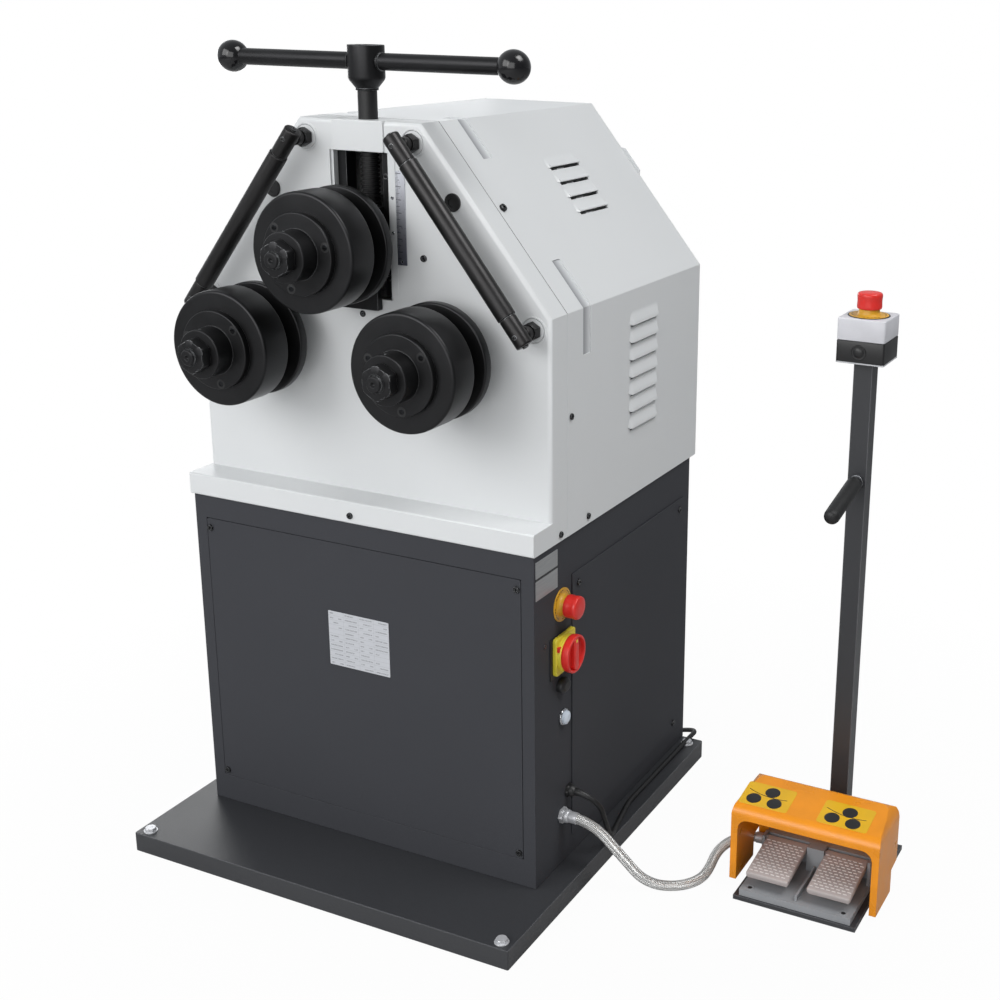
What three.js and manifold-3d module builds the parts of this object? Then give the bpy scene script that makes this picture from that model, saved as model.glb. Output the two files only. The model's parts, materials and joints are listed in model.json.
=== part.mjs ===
import * as THREE from 'three';
import { mergeVertices } from 'three/addons/utils/BufferGeometryUtils.js';
import Module from 'manifold-3d';

const wasm = await Module();
wasm.setup();

// Ring roller (three-roll section bender) on its cabinet, with the foot station beside it.
// Lengths are in millimetres and angles in degrees. Machine frame: X to the right as seen from
// the front, Y to the back, Z up. X 0 is the centre plane, Y 0 the head's front face, Z 0 the floor.

// Clearances
const seat = 0.3; // gap between a piece and what it rests on
const runningGap = 0.3; // radial gap of a turning or sliding fit
const overrun = 5; // how far a cutting tool passes the face it opens

// Facets round a turned face
const fine = 28;
const medium = 16;
const coarse = 10;
// The corner radius of a faceted bore whose flats stand clear of a radius
const bored = (radius, sides) => radius / Math.cos(Math.PI / sides);

// Stand
const tray = { beyondCabinet: 42.3, toe: 162, height: 35, sheet: 4, flange: 30, corner: 3 };
const cabinet = { ahead: 51, depth: 591, height: 593, sheet: 3 };
const frontPanel = { side: 23, foot: 49, head: 54, gap: 0.7, sheet: 2.4, corner: 3 };
const sidePanel = { front: 122, rear: 29, foot: 37, head: 83, lap: 20, sheet: 2, corner: 2 };
const motorWell = { width: 360, front: 290, length: 230 };
const rearVent = { count: 6, length: 240, slit: 8, pitch: 26, drop: 90 };

// Head covers
const cover = { sheet: 2.9, beyondRoll: 165.7, lap: 13, frontEdge: 7, seamAt: 52.2, depth: 558.7 };
const headShape = { shoulderRise: 359.4, slopeRise: 276, topWidth: 225 };
const ledge = { overhang: 5.5, rise: 37.4, edge: 2 };
const slot = { width: 110, height: 227.5 };
const wrapSlot = { width: 25.5, front: 51.3, onSide: 75, aboveShoulder: 88, belowTop: 75.5, onTop: 27.5, reach: 10 };
const louvre = { length: 101, height: 13, proud: 4, slit: 3, wall: 2 };
const sideLouvres = { count: 7, pitch: 29.7, front: 273, lowest: 123.2 };
const slopeLouvres = { count: 4, pitch: 29.4, front: 273.5, lowest: 155 };
const rearTab = { start: 197, length: 60, rise: 6 };

// Head frame
const frame = { clear: 0.4, floorSheet: 12, slotWidth: 100.6, slotDrop: 8, tieHeight: 60, tieWidth: 20 };
const frontPlate = { thickness: 35 };
const midPlate = { front: 99, thickness: 34 };
const rearPlate = { front: 300, thickness: 25 };
const bearingBoss = { diameter: 88, ahead: 12 };
const studBoss = { diameter: 37, coverGap: 0.6 };

// Top block and guides
const nutBlock = { width: 94, height: 47, proud: 3, depth: 60, edge: 2 };
const guideStrip = { width: 16.4, thickness: 25, behind: 13, drop: 1.5, height: 224 };

// Rolls
const roll = { diameter: 182, spread: 338.4, rise: 289.4, stagger: 162.4, width: 55, edge: 4, backEdge: 1.5 };
const groove = { width: 31.4, spacerDiameter: 80 };
const disc = { width: 17, standOff: 46.8, edge: 2.5 };
const flange = { diameter: 124, thickness: 11, edge: 1.5, collarDiameter: 76, collarLength: 33.3, wall: 6 };
const nut = { acrossFlats: 48, thickness: 19, chamfer: 2.2 };
const shaft = { threadDiameter: 25, seatDiameter: 49.4, shoulderDiameter: 68, journalDiameter: 48 };
const shaftEnd = { proud: 7.5, chamfer: 1.5, tail: 8, topTail: 6 };
const shoulderGap = 1;

// Carriage and lead screw
const apron = { width: 70, thickness: 12.5, above: 58, below: 107, edge: 2 };
const carriage = { above: 53, below: 45, coverGap: 1.2 };
const leadScrew = { diameter: 30, setBack: 28, stepIn: 24, relief: 1 };

// Handle
const hub = { diameter: 57, height: 64.5, chamferHeight: 14, footDiameter: 34, clearAbove: 46, edge: 1 };
const handle = { barDiameter: 26, reach: 266.7, below: 24.3, turn: -2.6, spigotDiameter: 14, spigotLength: 16 };
const knob = { diameter: 50, flatDiameter: 20 };

// Gears. The two shares give their pitch diameters from the spread of the lower rolls.
const gearing = { module: 6, gearShare: 0.709, pinionShare: 0.319, pressureAngle: 20, backlash: 0.8, spare: 0.3, dedendum: 1.25 };
const gearBlank = { front: 195, width: 36, hubDiameter: 76, hubLength: 12 };
const pinionBlank = { ahead: 2, width: 40, shaftDiameter: 40, tail: 24 };
const gearbox = { width: 150, height: 170, depth: 150, axisDrop: 80, edge: 8, pocket: 32 };
const motor = { diameter: 140, length: 300, flangeDiameter: 148, flangeThickness: 12, cowlDiameter: 146, cowlLength: 60 };

// Guide bars
const guideBar = { standOff: 43, diameter: 30, length: 370, capDiameter: 27, capLength: 48, jointGroove: 1.2 };
const guideBarEnd = { across: 88.6, drop: 16.3, fromSide: 19.7, chamfer: 3, studInset: 17 };
const stud = { diameter: 18, hexAcross: 26, hexLength: 14, hexGap: 2 };

// Controls on the cabinet's right side, each placed by its distance behind the cabinet's front
// face. The switch plate hangs from the cabinet's top, the stop button and the lamp keep clear of
// the plate, and the gland and hose fitting stand above the cabinet's foot.
const stopCollar = { behind: 89.5, abovePlate: 27.6, diameter: 34, thickness: 10, rim: 2 };
const stopButton = { diameter: 39, headLength: 18.5, stemDiameter: 22, gap: 6, dome: 5, travel: 5 };
const switchPlate = { behind: 87.5, drop: 203.3, size: 65, thickness: 14, corner: 6, bossDiameter: 50, bossLength: 5 };
const switchKnob = { diameter: 54, thickness: 9, gripWidth: 14, gripHeight: 14, stemDiameter: 16, edge: 1.2 };
const pilotLamp = { behind: 92.5, belowPlate: 72.3, diameter: 29, bezelLength: 4, lensDiameter: 23, lensLength: 7.5 };
const gland = { behind: 109.8, height: 127.4, diameter: 20, length: 8, neckDiameter: 15, neckLength: 6 };
const hoseFitting = { behind: 88.6, height: 91.5, across: 24, hexLength: 7, nutDiameter: 22, nutLength: 7 };

// Foot station: a free-standing stand, its grip and stop box, and the guarded twin foot switch
const station = { fromTray: 341.5, front: 120, width: 211, depth: 273, sheet: 8 };
const post = { size: 31, wall: 2.5, height: 878, fromRear: 22, capSize: 76, capSheet: 2 };
const grip = { diameter: 22, length: 118, height: 683, tilt: 12, rim: 4, neckDiameter: 16, neckLength: 8 };
const stopBox = { size: 75, baseHeight: 34, lidHeight: 36, corner: 6, joint: 1 };
const remoteCollar = { diameter: 36, height: 11, rim: 2 };
const remoteButton = { diameter: 41, headHeight: 22, stemDiameter: 22, gap: 5, dome: 5 };
const pedalBase = { width: 192, front: 3, height: 12, wallFront: 127, wallHeight: 52, crest: 25, length: 210, rearHeight: 36 };
const pedalRidge = { width: 4, height: 10, front: 8 };
const cheek = { width: 5, length: 22, height: 13, centreWidth: 30 };
const treadle = { width: 74, length: 106, thickness: 9, above: 31, tilt: 7.4, padDiameter: 20, padHeight: 7, padFromFront: 28 };
const trunnion = { diameter: 8, reach: 4, clear: 0.4, sideGap: 1 };
const baseGland = { diameter: 20, length: 6, fromWall: 4, height: 34 };
const guard = { width: 256, wall: 12, front: 38, footLift: 4, height: 150, roofDrop: 12, legDepth: 64, topDepth: 112, brow: 24, browDepth: 10 };
const guardShape = { corner: 24, rearLegLift: 58, shoulderLift: 30, rearWall: 8, frontRound: 16, saddleWidth: 196, wingHeight: 22 };

// Cords. The routes are lists of points in the machine frame, chosen by hand.
const hose = { diameter: 17, steps: 44, sides: 8 };
const hoseRoute = [
  [346.5, 37.6, 126.8], [350, 37.6, 126.8], [363.3, 37.9, 126], [379.5, 39.5, 121.6], [394, 42.3, 113.5], [405.8, 46.3, 102.2], [415.2, 51, 89],
  [424.5, 55.7, 75.7], [433.7, 60.4, 62.4], [442.9, 65.2, 49.1], [452.2, 69.9, 35.8], [462.8, 75.1, 23.8], [475.8, 81.1, 15], [490.4, 87.6, 9.9],
  [505.9, 94.3, 8.7], [520.2, 103, 8.7], [532, 115.1, 8.7], [540.4, 129.7, 8.7], [544.8, 145.9, 8.7], [545.5, 162.7, 9.1], [545.5, 179.1, 12.9],
  [545.6, 194.7, 19.2], [548.5, 210.1, 25.5], [555.7, 224.1, 31.3], [566.6, 236, 36.1], [580.5, 244.7, 39.7], [596.4, 249.8, 41.8], [609.2, 251, 42.3],
  [613.2, 251, 42.3],
];
const cord = { diameter: 9, steps: 44, sides: 8 };
const cordRoute = [
  [346.5, 58.8, 162.7], [350.5, 58.8, 162.7], [361.7, 60.3, 159.8], [375.6, 65, 151.2], [384.2, 71.8, 138.4], [386.2, 79.8, 123.6], [385.7, 87.8, 108.5],
  [385.2, 95.9, 93.5], [384.7, 103.9, 78.5], [383.3, 113.6, 64.5], [380, 126.2, 53.7], [374.9, 140.9, 46.8], [369.7, 156.4, 41.9], [365.6, 172.8, 39.8],
  [362.4, 189.5, 39.7], [359.2, 206.3, 39.7], [356, 223, 39.7], [352.8, 239.8, 39.7], [350.2, 256.6, 39.7], [349.1, 273.6, 39.7], [349, 290.7, 39.7],
  [349, 324.8, 39.7], [349, 358.9, 39.7], [349, 393, 39.7], [349, 427.1, 39.7], [349, 461.2, 39.7], [349, 495.4, 39.7], [349, 512.4, 39.7],
  [349, 529.5, 39.7], [349, 546.5, 39.2], [346.2, 562.9, 35.8], [339, 577.4, 30.4], [328.4, 589, 24.1], [315, 597.2, 17.5], [299.9, 602.3, 11.4],
  [285.9, 610.5, 6.7], [274.4, 622.9, 4.5], [267.1, 638.2, 4.5], [264.63, 650.3, 4.5], [264.63, 654.3, 4.5],
];
const coil = { innerRadius: 39, pitch: 9.8, halfTurns: 12.5, stepsPerTurn: 20, climbTurns: 0.25, sides: 6, tail: 22 };
const coilCentre = [195, 655];
const plug = { diameter: 38, length: 62, neckDiameter: 20, neckLength: 26, faceLength: 16, faceDiameter: 34, lip: 1.5 };
const plugPin = { diameter: 5, length: 18, circle: 18 };

// Heights and depths that several pieces share
const cabinetFoot = tray.height + seat;
const cabinetTop = cabinetFoot + cabinet.height;
const cabinetFront = -cabinet.ahead;
const cabinetRear = cabinetFront + cabinet.depth;
const lowerX = roll.spread / 2;
const coverSide = lowerX + cover.beyondRoll;
const cabinetSide = coverSide - cover.sheet - seat;
const traySide = cabinetSide + tray.beyondCabinet;
const coverFoot = cabinetTop - cover.lap;
const shoulderZ = coverFoot + headShape.shoulderRise;
const headTop = shoulderZ + headShape.slopeRise;
const slotTop = headTop - nutBlock.height;
const slotBottom = slotTop - slot.height;
const lowerZ = coverFoot + roll.rise;
const topZ = lowerZ + roll.stagger;
const rollRadius = roll.diameter / 2;
const discRear = -disc.standOff;
const discFront = discRear - disc.width;
const rollRear = discFront - groove.width;
const rollFront = rollRear - roll.width;
const flangeFront = rollFront - flange.thickness;
const collarFront = flangeFront - flange.collarLength;
const nutFront = collarFront - seat - nut.thickness;
const shaftFront = nutFront - shaftEnd.proud;
const frontPlateRear = cover.sheet + frame.clear + frontPlate.thickness;
const midPlateRear = midPlate.front + midPlate.thickness;
const rearPlateRear = rearPlate.front + rearPlate.thickness;
const journalBore = bored(shaft.journalDiameter / 2 + runningGap, medium);
const pinionBore = bored(pinionBlank.shaftDiameter / 2 + runningGap, medium);
const screwBore = bored(leadScrew.diameter / 2 + runningGap, medium);
const slopeRun = coverSide - headShape.topWidth / 2;
const slopeLength = Math.hypot(slopeRun, headShape.slopeRise);
const screwAxis = leadScrew.setBack;
const barLean = Math.asin((coverSide - guideBarEnd.fromSide - guideBarEnd.across) / guideBar.length);
const gearTeeth = 2 * Math.round(roll.spread * gearing.gearShare / gearing.module / 2);
const pinionTeeth = 2 * Math.round(roll.spread * gearing.pinionShare / gearing.module / 2);
const switchHeight = cabinet.height - switchPlate.drop;
const stopHeight = switchHeight + switchPlate.size / 2 + stopCollar.abovePlate + stopButton.diameter / 2;
const lampHeight = switchHeight - switchPlate.size / 2 - pilotLamp.belowPlate - pilotLamp.diameter / 2;
const hubFoot = headTop + hub.clearAbove;
const hubTop = hubFoot + hub.height;
const barZ = hubTop - handle.below;

// Materials
const paint = (name, color, roughness, metalness = 0) =>
  new THREE.MeshStandardMaterial({ name, color, roughness, metalness });
const blackOxide = paint('black_oxide_steel', 0x1c1c1e, 0.42, 0.6);
const whitePaint = paint('white_paint', 0xdfe2e4, 0.4);
const greyPaint = paint('dark_grey_paint', 0x3b3c40, 0.5);
const rawSteel = paint('machined_steel', 0x8b8d90, 0.35, 0.9);
const redPlastic = paint('red_plastic', 0xd0201c, 0.35);
const yellowPlastic = paint('yellow_plastic', 0xe8c81c, 0.4);
const blackPlastic = paint('black_plastic', 0x161616, 0.5);
const whitePlastic = paint('white_plastic', 0xe6e6e8, 0.4);
const orangePlastic = paint('orange_plastic', 0xf08a1c, 0.35);
const greyCasting = paint('grey_casting', 0x86878a, 0.5, 0.2);
const chrome = paint('bright_plating', 0xc4c6ca, 0.2, 1);
const lensPlastic = paint('lamp_lens', 0xdde4ee, 0.2);
const braid = paint('steel_braid', 0x9a938c, 0.4, 0.8);
const rubber = paint('black_rubber', 0x121212, 0.6);

// Solids

function solid(geometry) {
  geometry.deleteAttribute('normal');
  geometry.deleteAttribute('uv');
  const merged = mergeVertices(geometry);
  const corners = merged.index.array;
  const faces = [];
  for (let i = 0; i < corners.length; i += 3) {
    const [a, b, c] = [corners[i], corners[i + 1], corners[i + 2]];
    if (a !== b && b !== c && c !== a) faces.push(a, b, c);
  }
  const vertProperties = Float32Array.from(merged.attributes.position.array);
  const build = (triangles) => new wasm.Manifold(new wasm.Mesh({
    numProp: 3, vertProperties, triVerts: Uint32Array.from(triangles),
  }));
  const body = build(faces);
  return body.volume() > 0 ? body : build(faces.reverse());
}

function cut(body, ...tools) {
  return tools.reduce((left, tool) => left.subtract(tool), body);
}

function join(...bodies) {
  return bodies.reduce((left, right) => left.add(right));
}

function piece(name, body, material) {
  const { vertProperties, triVerts } = body.getMesh();
  const geometry = new THREE.BufferGeometry();
  geometry.setAttribute('position', new THREE.BufferAttribute(vertProperties, 3));
  geometry.setIndex(new THREE.BufferAttribute(triVerts, 1));
  const flat = geometry.toNonIndexed();
  flat.computeVertexNormals();
  const mesh = new THREE.Mesh(flat, material);
  mesh.name = name;
  return mesh;
}

function block([x0, y0, z0], [x1, y1, z1]) {
  const box = new THREE.BoxGeometry(x1 - x0, y1 - y0, z1 - z0);
  return solid(box.translate((x0 + x1) / 2, (y0 + y1) / 2, (z0 + z1) / 2));
}

function outline(points) {
  return new THREE.Shape(points.map(([a, b]) => new THREE.Vector2(a, b)));
}

function roundedRect(width, height, radius, sides = 3) {
  const corner = Math.min(radius, width / 2, height / 2);
  const points = [];
  for (let quarter = 0; quarter < 4; quarter += 1) {
    const signX = quarter === 0 || quarter === 3 ? 1 : -1;
    const signY = quarter < 2 ? 1 : -1;
    for (let step = 0; step <= sides; step += 1) {
      const angle = (quarter + step / sides) * Math.PI / 2;
      points.push([
        signX * (width / 2 - corner) + corner * Math.cos(angle),
        signY * (height / 2 - corner) + corner * Math.sin(angle),
      ]);
    }
  }
  return outline(points);
}

function circleHole(radius, sides, [x, y] = [0, 0]) {
  const hole = new THREE.Path();
  const ring = Array.from({ length: sides }, (_, i) => {
    const angle = -2 * Math.PI * i / sides;
    return new THREE.Vector2(x + radius * Math.cos(angle), y + radius * Math.sin(angle));
  });
  return hole.setFromPoints(ring);
}

// Prisms of an outline, named by the axis that they run along
const prismZ = (shape, z0, z1) => solid(
  new THREE.ExtrudeGeometry(shape, { depth: z1 - z0, bevelEnabled: false }).translate(0, 0, z0));
const prismY = (shape, y0, y1) => solid(
  new THREE.ExtrudeGeometry(shape, { depth: y1 - y0, bevelEnabled: false })
    .rotateX(Math.PI / 2).translate(0, y1, 0));
const alongX = new THREE.Matrix4().makeBasis(
  new THREE.Vector3(0, 1, 0), new THREE.Vector3(0, 0, 1), new THREE.Vector3(1, 0, 0));
const prismX = (shape, x0, x1) => solid(
  new THREE.ExtrudeGeometry(shape, { depth: x1 - x0, bevelEnabled: false })
    .applyMatrix4(alongX).translate(x0, 0, 0));

// Revolved profiles: radius first, then the place along the axis
const turnY = (profile, sides) => solid(
  new THREE.LatheGeometry(profile.map(([r, h]) => new THREE.Vector2(r, h)), sides));
const turnZ = (profile, sides) => solid(
  new THREE.LatheGeometry(profile.map(([r, h]) => new THREE.Vector2(r, h)), sides).rotateX(Math.PI / 2));
const turnX = (profile, sides) => solid(
  new THREE.LatheGeometry(profile.map(([r, h]) => new THREE.Vector2(r, h)), sides).rotateZ(-Math.PI / 2));

const rod = (radius, from, to) => [[0, from], [radius, from], [radius, to], [0, to]];
const closed = (profile) => [...profile, profile[0]];
const atXZ = (body, x, z) => body.translate([x, 0, z]);

function chamferedBox(size, z0, z1, corner) {
  return prismZ(roundedRect(size, size, corner), z0, z1);
}

function hexShape(acrossFlats, turn = 0) {
  const radius = acrossFlats / Math.sqrt(3);
  return outline(Array.from({ length: 6 }, (_, i) => {
    const angle = turn + Math.PI * i / 3;
    return [radius * Math.cos(angle), radius * Math.sin(angle)];
  }));
}

// The head's outline seen from the front, drawn in by a margin on its sides, slopes and top
function headOutline(margin, foot = coverFoot) {
  const side = coverSide;
  const top = headShape.topWidth / 2;
  const slopeAngle = Math.atan2(headShape.slopeRise, side - top);
  const half = [
    [side - margin, foot],
    [side - margin, shoulderZ + margin * Math.tan((slopeAngle - Math.PI / 2) / 2)],
    [top - margin * Math.tan(slopeAngle / 2), headTop - margin],
  ];
  return [...half, ...half.map(([x, z]) => [-x, z]).reverse()];
}

// A place on the right slope, so far up from the shoulder and so far proud of the cover
function onSlope(along, proud) {
  const [acrossX, acrossZ] = [headShape.slopeRise / slopeLength, slopeRun / slopeLength];
  return [
    coverSide - slopeRun * along / slopeLength + acrossX * proud,
    shoulderZ + headShape.slopeRise * along / slopeLength + acrossZ * proud,
  ];
}

// Stand

function baseTray() {
  const front = cabinetFront - tray.toe;
  const middle = (front + cabinetRear) / 2;
  const outer = prismZ(roundedRect(2 * traySide, cabinetRear - front, tray.corner), 0, tray.height)
    .translate([0, middle, 0]);
  const inside = block(
    [-traySide + tray.sheet, front + tray.sheet, tray.sheet],
    [traySide - tray.sheet, cabinetRear - tray.sheet, tray.height - tray.sheet]);
  const mouth = block(
    [-traySide + tray.flange, front + tray.flange, -overrun],
    [traySide - tray.flange, cabinetRear - tray.flange, tray.height / 2]);
  return piece('base_tray', cut(outer, inside, mouth), greyPaint);
}

function cabinetShell() {
  const inner = cabinetSide - cabinet.sheet;
  const outer = block([-cabinetSide, cabinetFront, cabinetFoot], [cabinetSide, cabinetRear, cabinetTop]);
  const hollow = block(
    [-inner, cabinetFront + cabinet.sheet, cabinetFoot - overrun],
    [inner, cabinetRear - cabinet.sheet, cabinetTop - cabinet.sheet]);
  const frontMouth = block(
    [-cabinetSide + frontPanel.side, cabinetFront - overrun, cabinetFoot + frontPanel.foot],
    [cabinetSide - frontPanel.side, cabinetFront + cabinet.sheet + overrun, cabinetTop - frontPanel.head]);
  const sideMouth = block(
    [inner - overrun, cabinetFront + sidePanel.front + sidePanel.lap, cabinetFoot + sidePanel.foot + sidePanel.lap],
    [cabinetSide + overrun, cabinetRear - sidePanel.rear - sidePanel.lap,
      cabinetTop - sidePanel.head - sidePanel.lap]);
  const well = block(
    [-motorWell.width / 2, motorWell.front, cabinetTop - cabinet.sheet - overrun],
    [motorWell.width / 2, motorWell.front + motorWell.length, cabinetTop + overrun]);
  const vents = Array.from({ length: rearVent.count }, (_, i) => {
    const z = cabinetTop - rearVent.drop - i * rearVent.pitch;
    return block(
      [-rearVent.length / 2, cabinetRear - cabinet.sheet - overrun, z - rearVent.slit],
      [rearVent.length / 2, cabinetRear + overrun, z]);
  });
  return piece('cabinet_shell', cut(outer, hollow, frontMouth, sideMouth, well, ...vents), greyPaint);
}

function frontAccessPanel() {
  const side = cabinetSide - frontPanel.side - frontPanel.gap;
  const foot = cabinetFoot + frontPanel.foot + frontPanel.gap;
  const head = cabinetTop - frontPanel.head - frontPanel.gap;
  const shape = roundedRect(2 * side, head - foot, frontPanel.corner, 2);
  const sheet = prismY(shape, cabinetFront, cabinetFront + frontPanel.sheet);
  return piece('front_access_panel', atXZ(sheet, 0, (foot + head) / 2), greyPaint);
}

function electricsPanel() {
  const front = cabinetFront + sidePanel.front;
  const rear = cabinetRear - sidePanel.rear;
  const foot = cabinetFoot + sidePanel.foot;
  const head = cabinetTop - sidePanel.head;
  const face = cabinetSide + seat;
  const sheet = prismX(roundedRect(rear - front, head - foot, sidePanel.corner, 2), face, face + sidePanel.sheet);
  return piece('electrics_panel', sheet.translate([0, (front + rear) / 2, (foot + head) / 2]), greyPaint);
}

// Head covers

function studPlaces() {
  const endX = guideBarEnd.across;
  const endZ = headTop - guideBarEnd.drop;
  return [guideBarEnd.studInset, guideBar.length - guideBarEnd.studInset]
    .map((along) => [endX + along * Math.sin(barLean), endZ - along * Math.cos(barLean)]);
}

function bothSides(places) {
  return places.flatMap(([x, z]) => [[x, z], [-x, z]]);
}

function frontHousing() {
  const bevel = cover.frontEdge;
  const rounded = new THREE.ExtrudeGeometry(outline(headOutline(bevel, coverFoot + bevel)), {
    depth: cover.seamAt, bevelEnabled: true, bevelThickness: bevel, bevelSize: bevel, bevelSegments: 3,
  }).rotateX(Math.PI / 2).translate(0, cover.seamAt + bevel, 0);
  const keep = block([-coverSide - overrun, -overrun, coverFoot], [coverSide + overrun, cover.seamAt, headTop + overrun]);
  const front = cabinetFront - ledge.overhang;
  const ledgeTop = coverFoot + ledge.rise;
  const ledgeShape = outline([
    [front + ledge.edge, coverFoot], [front, coverFoot + ledge.edge], [front, ledgeTop - ledge.edge],
    [front + ledge.edge, ledgeTop], [cover.seamAt, ledgeTop], [cover.seamAt, coverFoot],
  ]);
  const body = join(solid(rounded).intersect(keep), prismX(ledgeShape, -coverSide, coverSide));
  const hollow = prismY(outline(headOutline(cover.sheet, coverFoot - overrun)), cover.sheet, cover.seamAt + overrun);
  const underLedge = block(
    [-coverSide + cover.sheet, front + cover.sheet, coverFoot - overrun],
    [coverSide - cover.sheet, cover.seamAt + overrun, ledgeTop - cover.sheet]);
  const slotTool = block([-slot.width / 2, -overrun, slotBottom], [slot.width / 2, cover.sheet + overrun, slotTop]);
  const notch = block(
    [-nutBlock.width / 2 - seat, -overrun, slotTop - overrun],
    [nutBlock.width / 2 + seat, cover.seamAt + overrun, headTop + overrun]);
  const boreRadius = bearingBoss.diameter / 2 + studBoss.coverGap;
  const bosses = bothSides([[lowerX, lowerZ]])
    .map(([x, z]) => atXZ(turnY(rod(boreRadius, -overrun, cover.sheet + overrun), fine), x, z));
  const studRadius = studBoss.diameter / 2 + studBoss.coverGap;
  const studs = bothSides(studPlaces())
    .map(([x, z]) => atXZ(turnY(rod(studRadius, -overrun, cover.sheet + overrun), medium), x, z));
  return piece('front_housing', cut(body, hollow, underLedge, slotTool, notch, ...bosses, ...studs), whitePaint);
}

// One pressed louvre lying along Y on a vertical wall that faces +X, its slit along its lower edge
function louvreHood() {
  const sunk = -louvre.wall / 2;
  const hood = outline([[sunk, 0], [louvre.proud, 0], [louvre.proud, louvre.slit], [sunk, louvre.height]]);
  return prismY(hood, 0, louvre.length);
}

function louvreSlit(wall) {
  const slit = outline([
    [-wall - overrun, -overrun], [louvre.proud - louvre.wall, -overrun],
    [louvre.proud - louvre.wall, louvre.slit], [-wall - overrun, louvre.slit],
  ]);
  return prismY(slit, louvre.wall, louvre.length - louvre.wall);
}

function louvrePlaces() {
  const tilt = Math.atan2(slopeRun, headShape.slopeRise);
  const places = [];
  for (let i = 0; i < sideLouvres.count; i += 1) {
    places.push({ x: coverSide, y: sideLouvres.front, tilt: 0, z: coverFoot + sideLouvres.lowest + i * sideLouvres.pitch });
  }
  for (let i = 0; i < slopeLouvres.count; i += 1) {
    const [x, z] = onSlope(slopeLouvres.lowest + i * slopeLouvres.pitch, 0);
    places.push({ x, y: slopeLouvres.front, tilt, z });
  }
  return places;
}

function rearCover() {
  const front = cover.seamAt + seat;
  const rear = cover.depth - cover.sheet - seat;
  let body = cut(
    prismY(outline(headOutline(0)), front, rear),
    prismY(outline(headOutline(cover.sheet, coverFoot - overrun)), front - overrun, rear + overrun));
  const half = nutBlock.width / 2 + seat;
  body = cut(body, block([-half, front - overrun, headTop - nutBlock.height],
    [half, nutBlock.depth - nutBlock.proud + seat, headTop + overrun]));
  const degrees = 180 / Math.PI;
  const place = (tool, { x, y, z, tilt }) => tool.rotate([0, -tilt * degrees, 0]).translate([x, y, z]);
  for (const spot of louvrePlaces()) {
    const hood = place(louvreHood(), spot);
    const slit = place(louvreSlit(cover.sheet), spot);
    body = cut(join(body, hood, hood.mirror([1, 0, 0])), slit, slit.mirror([1, 0, 0]));
  }
  const slotFront = cover.seamAt + wrapSlot.front;
  const { reach, onSide, aboveShoulder, belowTop, onTop } = wrapSlot;
  const topX = headShape.topWidth / 2;
  const bends = [[
    onSlope(aboveShoulder, reach), [coverSide + reach, shoulderZ + reach], [coverSide + reach, shoulderZ - onSide],
    [coverSide - reach, shoulderZ - onSide], onSlope(aboveShoulder, -reach),
  ], [
    onSlope(slopeLength - belowTop, reach), [topX + reach, headTop + reach], [topX - onTop, headTop + reach],
    [topX - onTop, headTop - reach], onSlope(slopeLength - belowTop, -reach),
  ]];
  for (const bend of bends) {
    const tool = prismY(outline(bend), slotFront, slotFront + wrapSlot.width);
    body = cut(body, tool, tool.mirror([1, 0, 0]));
  }
  return piece('rear_cover', body, whitePaint);
}

function circleShape(radius, sides) {
  return outline(Array.from({ length: sides }, (_, i) => {
    const angle = 2 * Math.PI * i / sides;
    return [radius * Math.cos(angle), radius * Math.sin(angle)];
  }));
}

function headBackPanel() {
  const tabEnd = rearTab.start + rearTab.length;
  const half = [
    [coverSide, coverFoot], [coverSide, shoulderZ], onSlope(rearTab.start, 0),
    onSlope(rearTab.start + rearTab.rise, rearTab.rise), onSlope(tabEnd - rearTab.rise, rearTab.rise),
    onSlope(tabEnd, 0), [headShape.topWidth / 2, headTop],
  ];
  const points = [...half, ...half.map(([x, z]) => [-x, z]).reverse()];
  const sheet = prismY(outline(points), cover.depth - cover.sheet, cover.depth);
  const vents = Array.from({ length: rearVent.count }, (_, i) => {
    const z = shoulderZ - i * rearVent.pitch;
    return block(
      [-rearVent.length / 2, cover.depth - cover.sheet - overrun, z - rearVent.slit],
      [rearVent.length / 2, cover.depth + overrun, z]);
  });
  return piece('head_back_panel', cut(sheet, ...vents), whitePaint);
}

// Head frame: three thick plates on a base plate, tied along both sides

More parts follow.
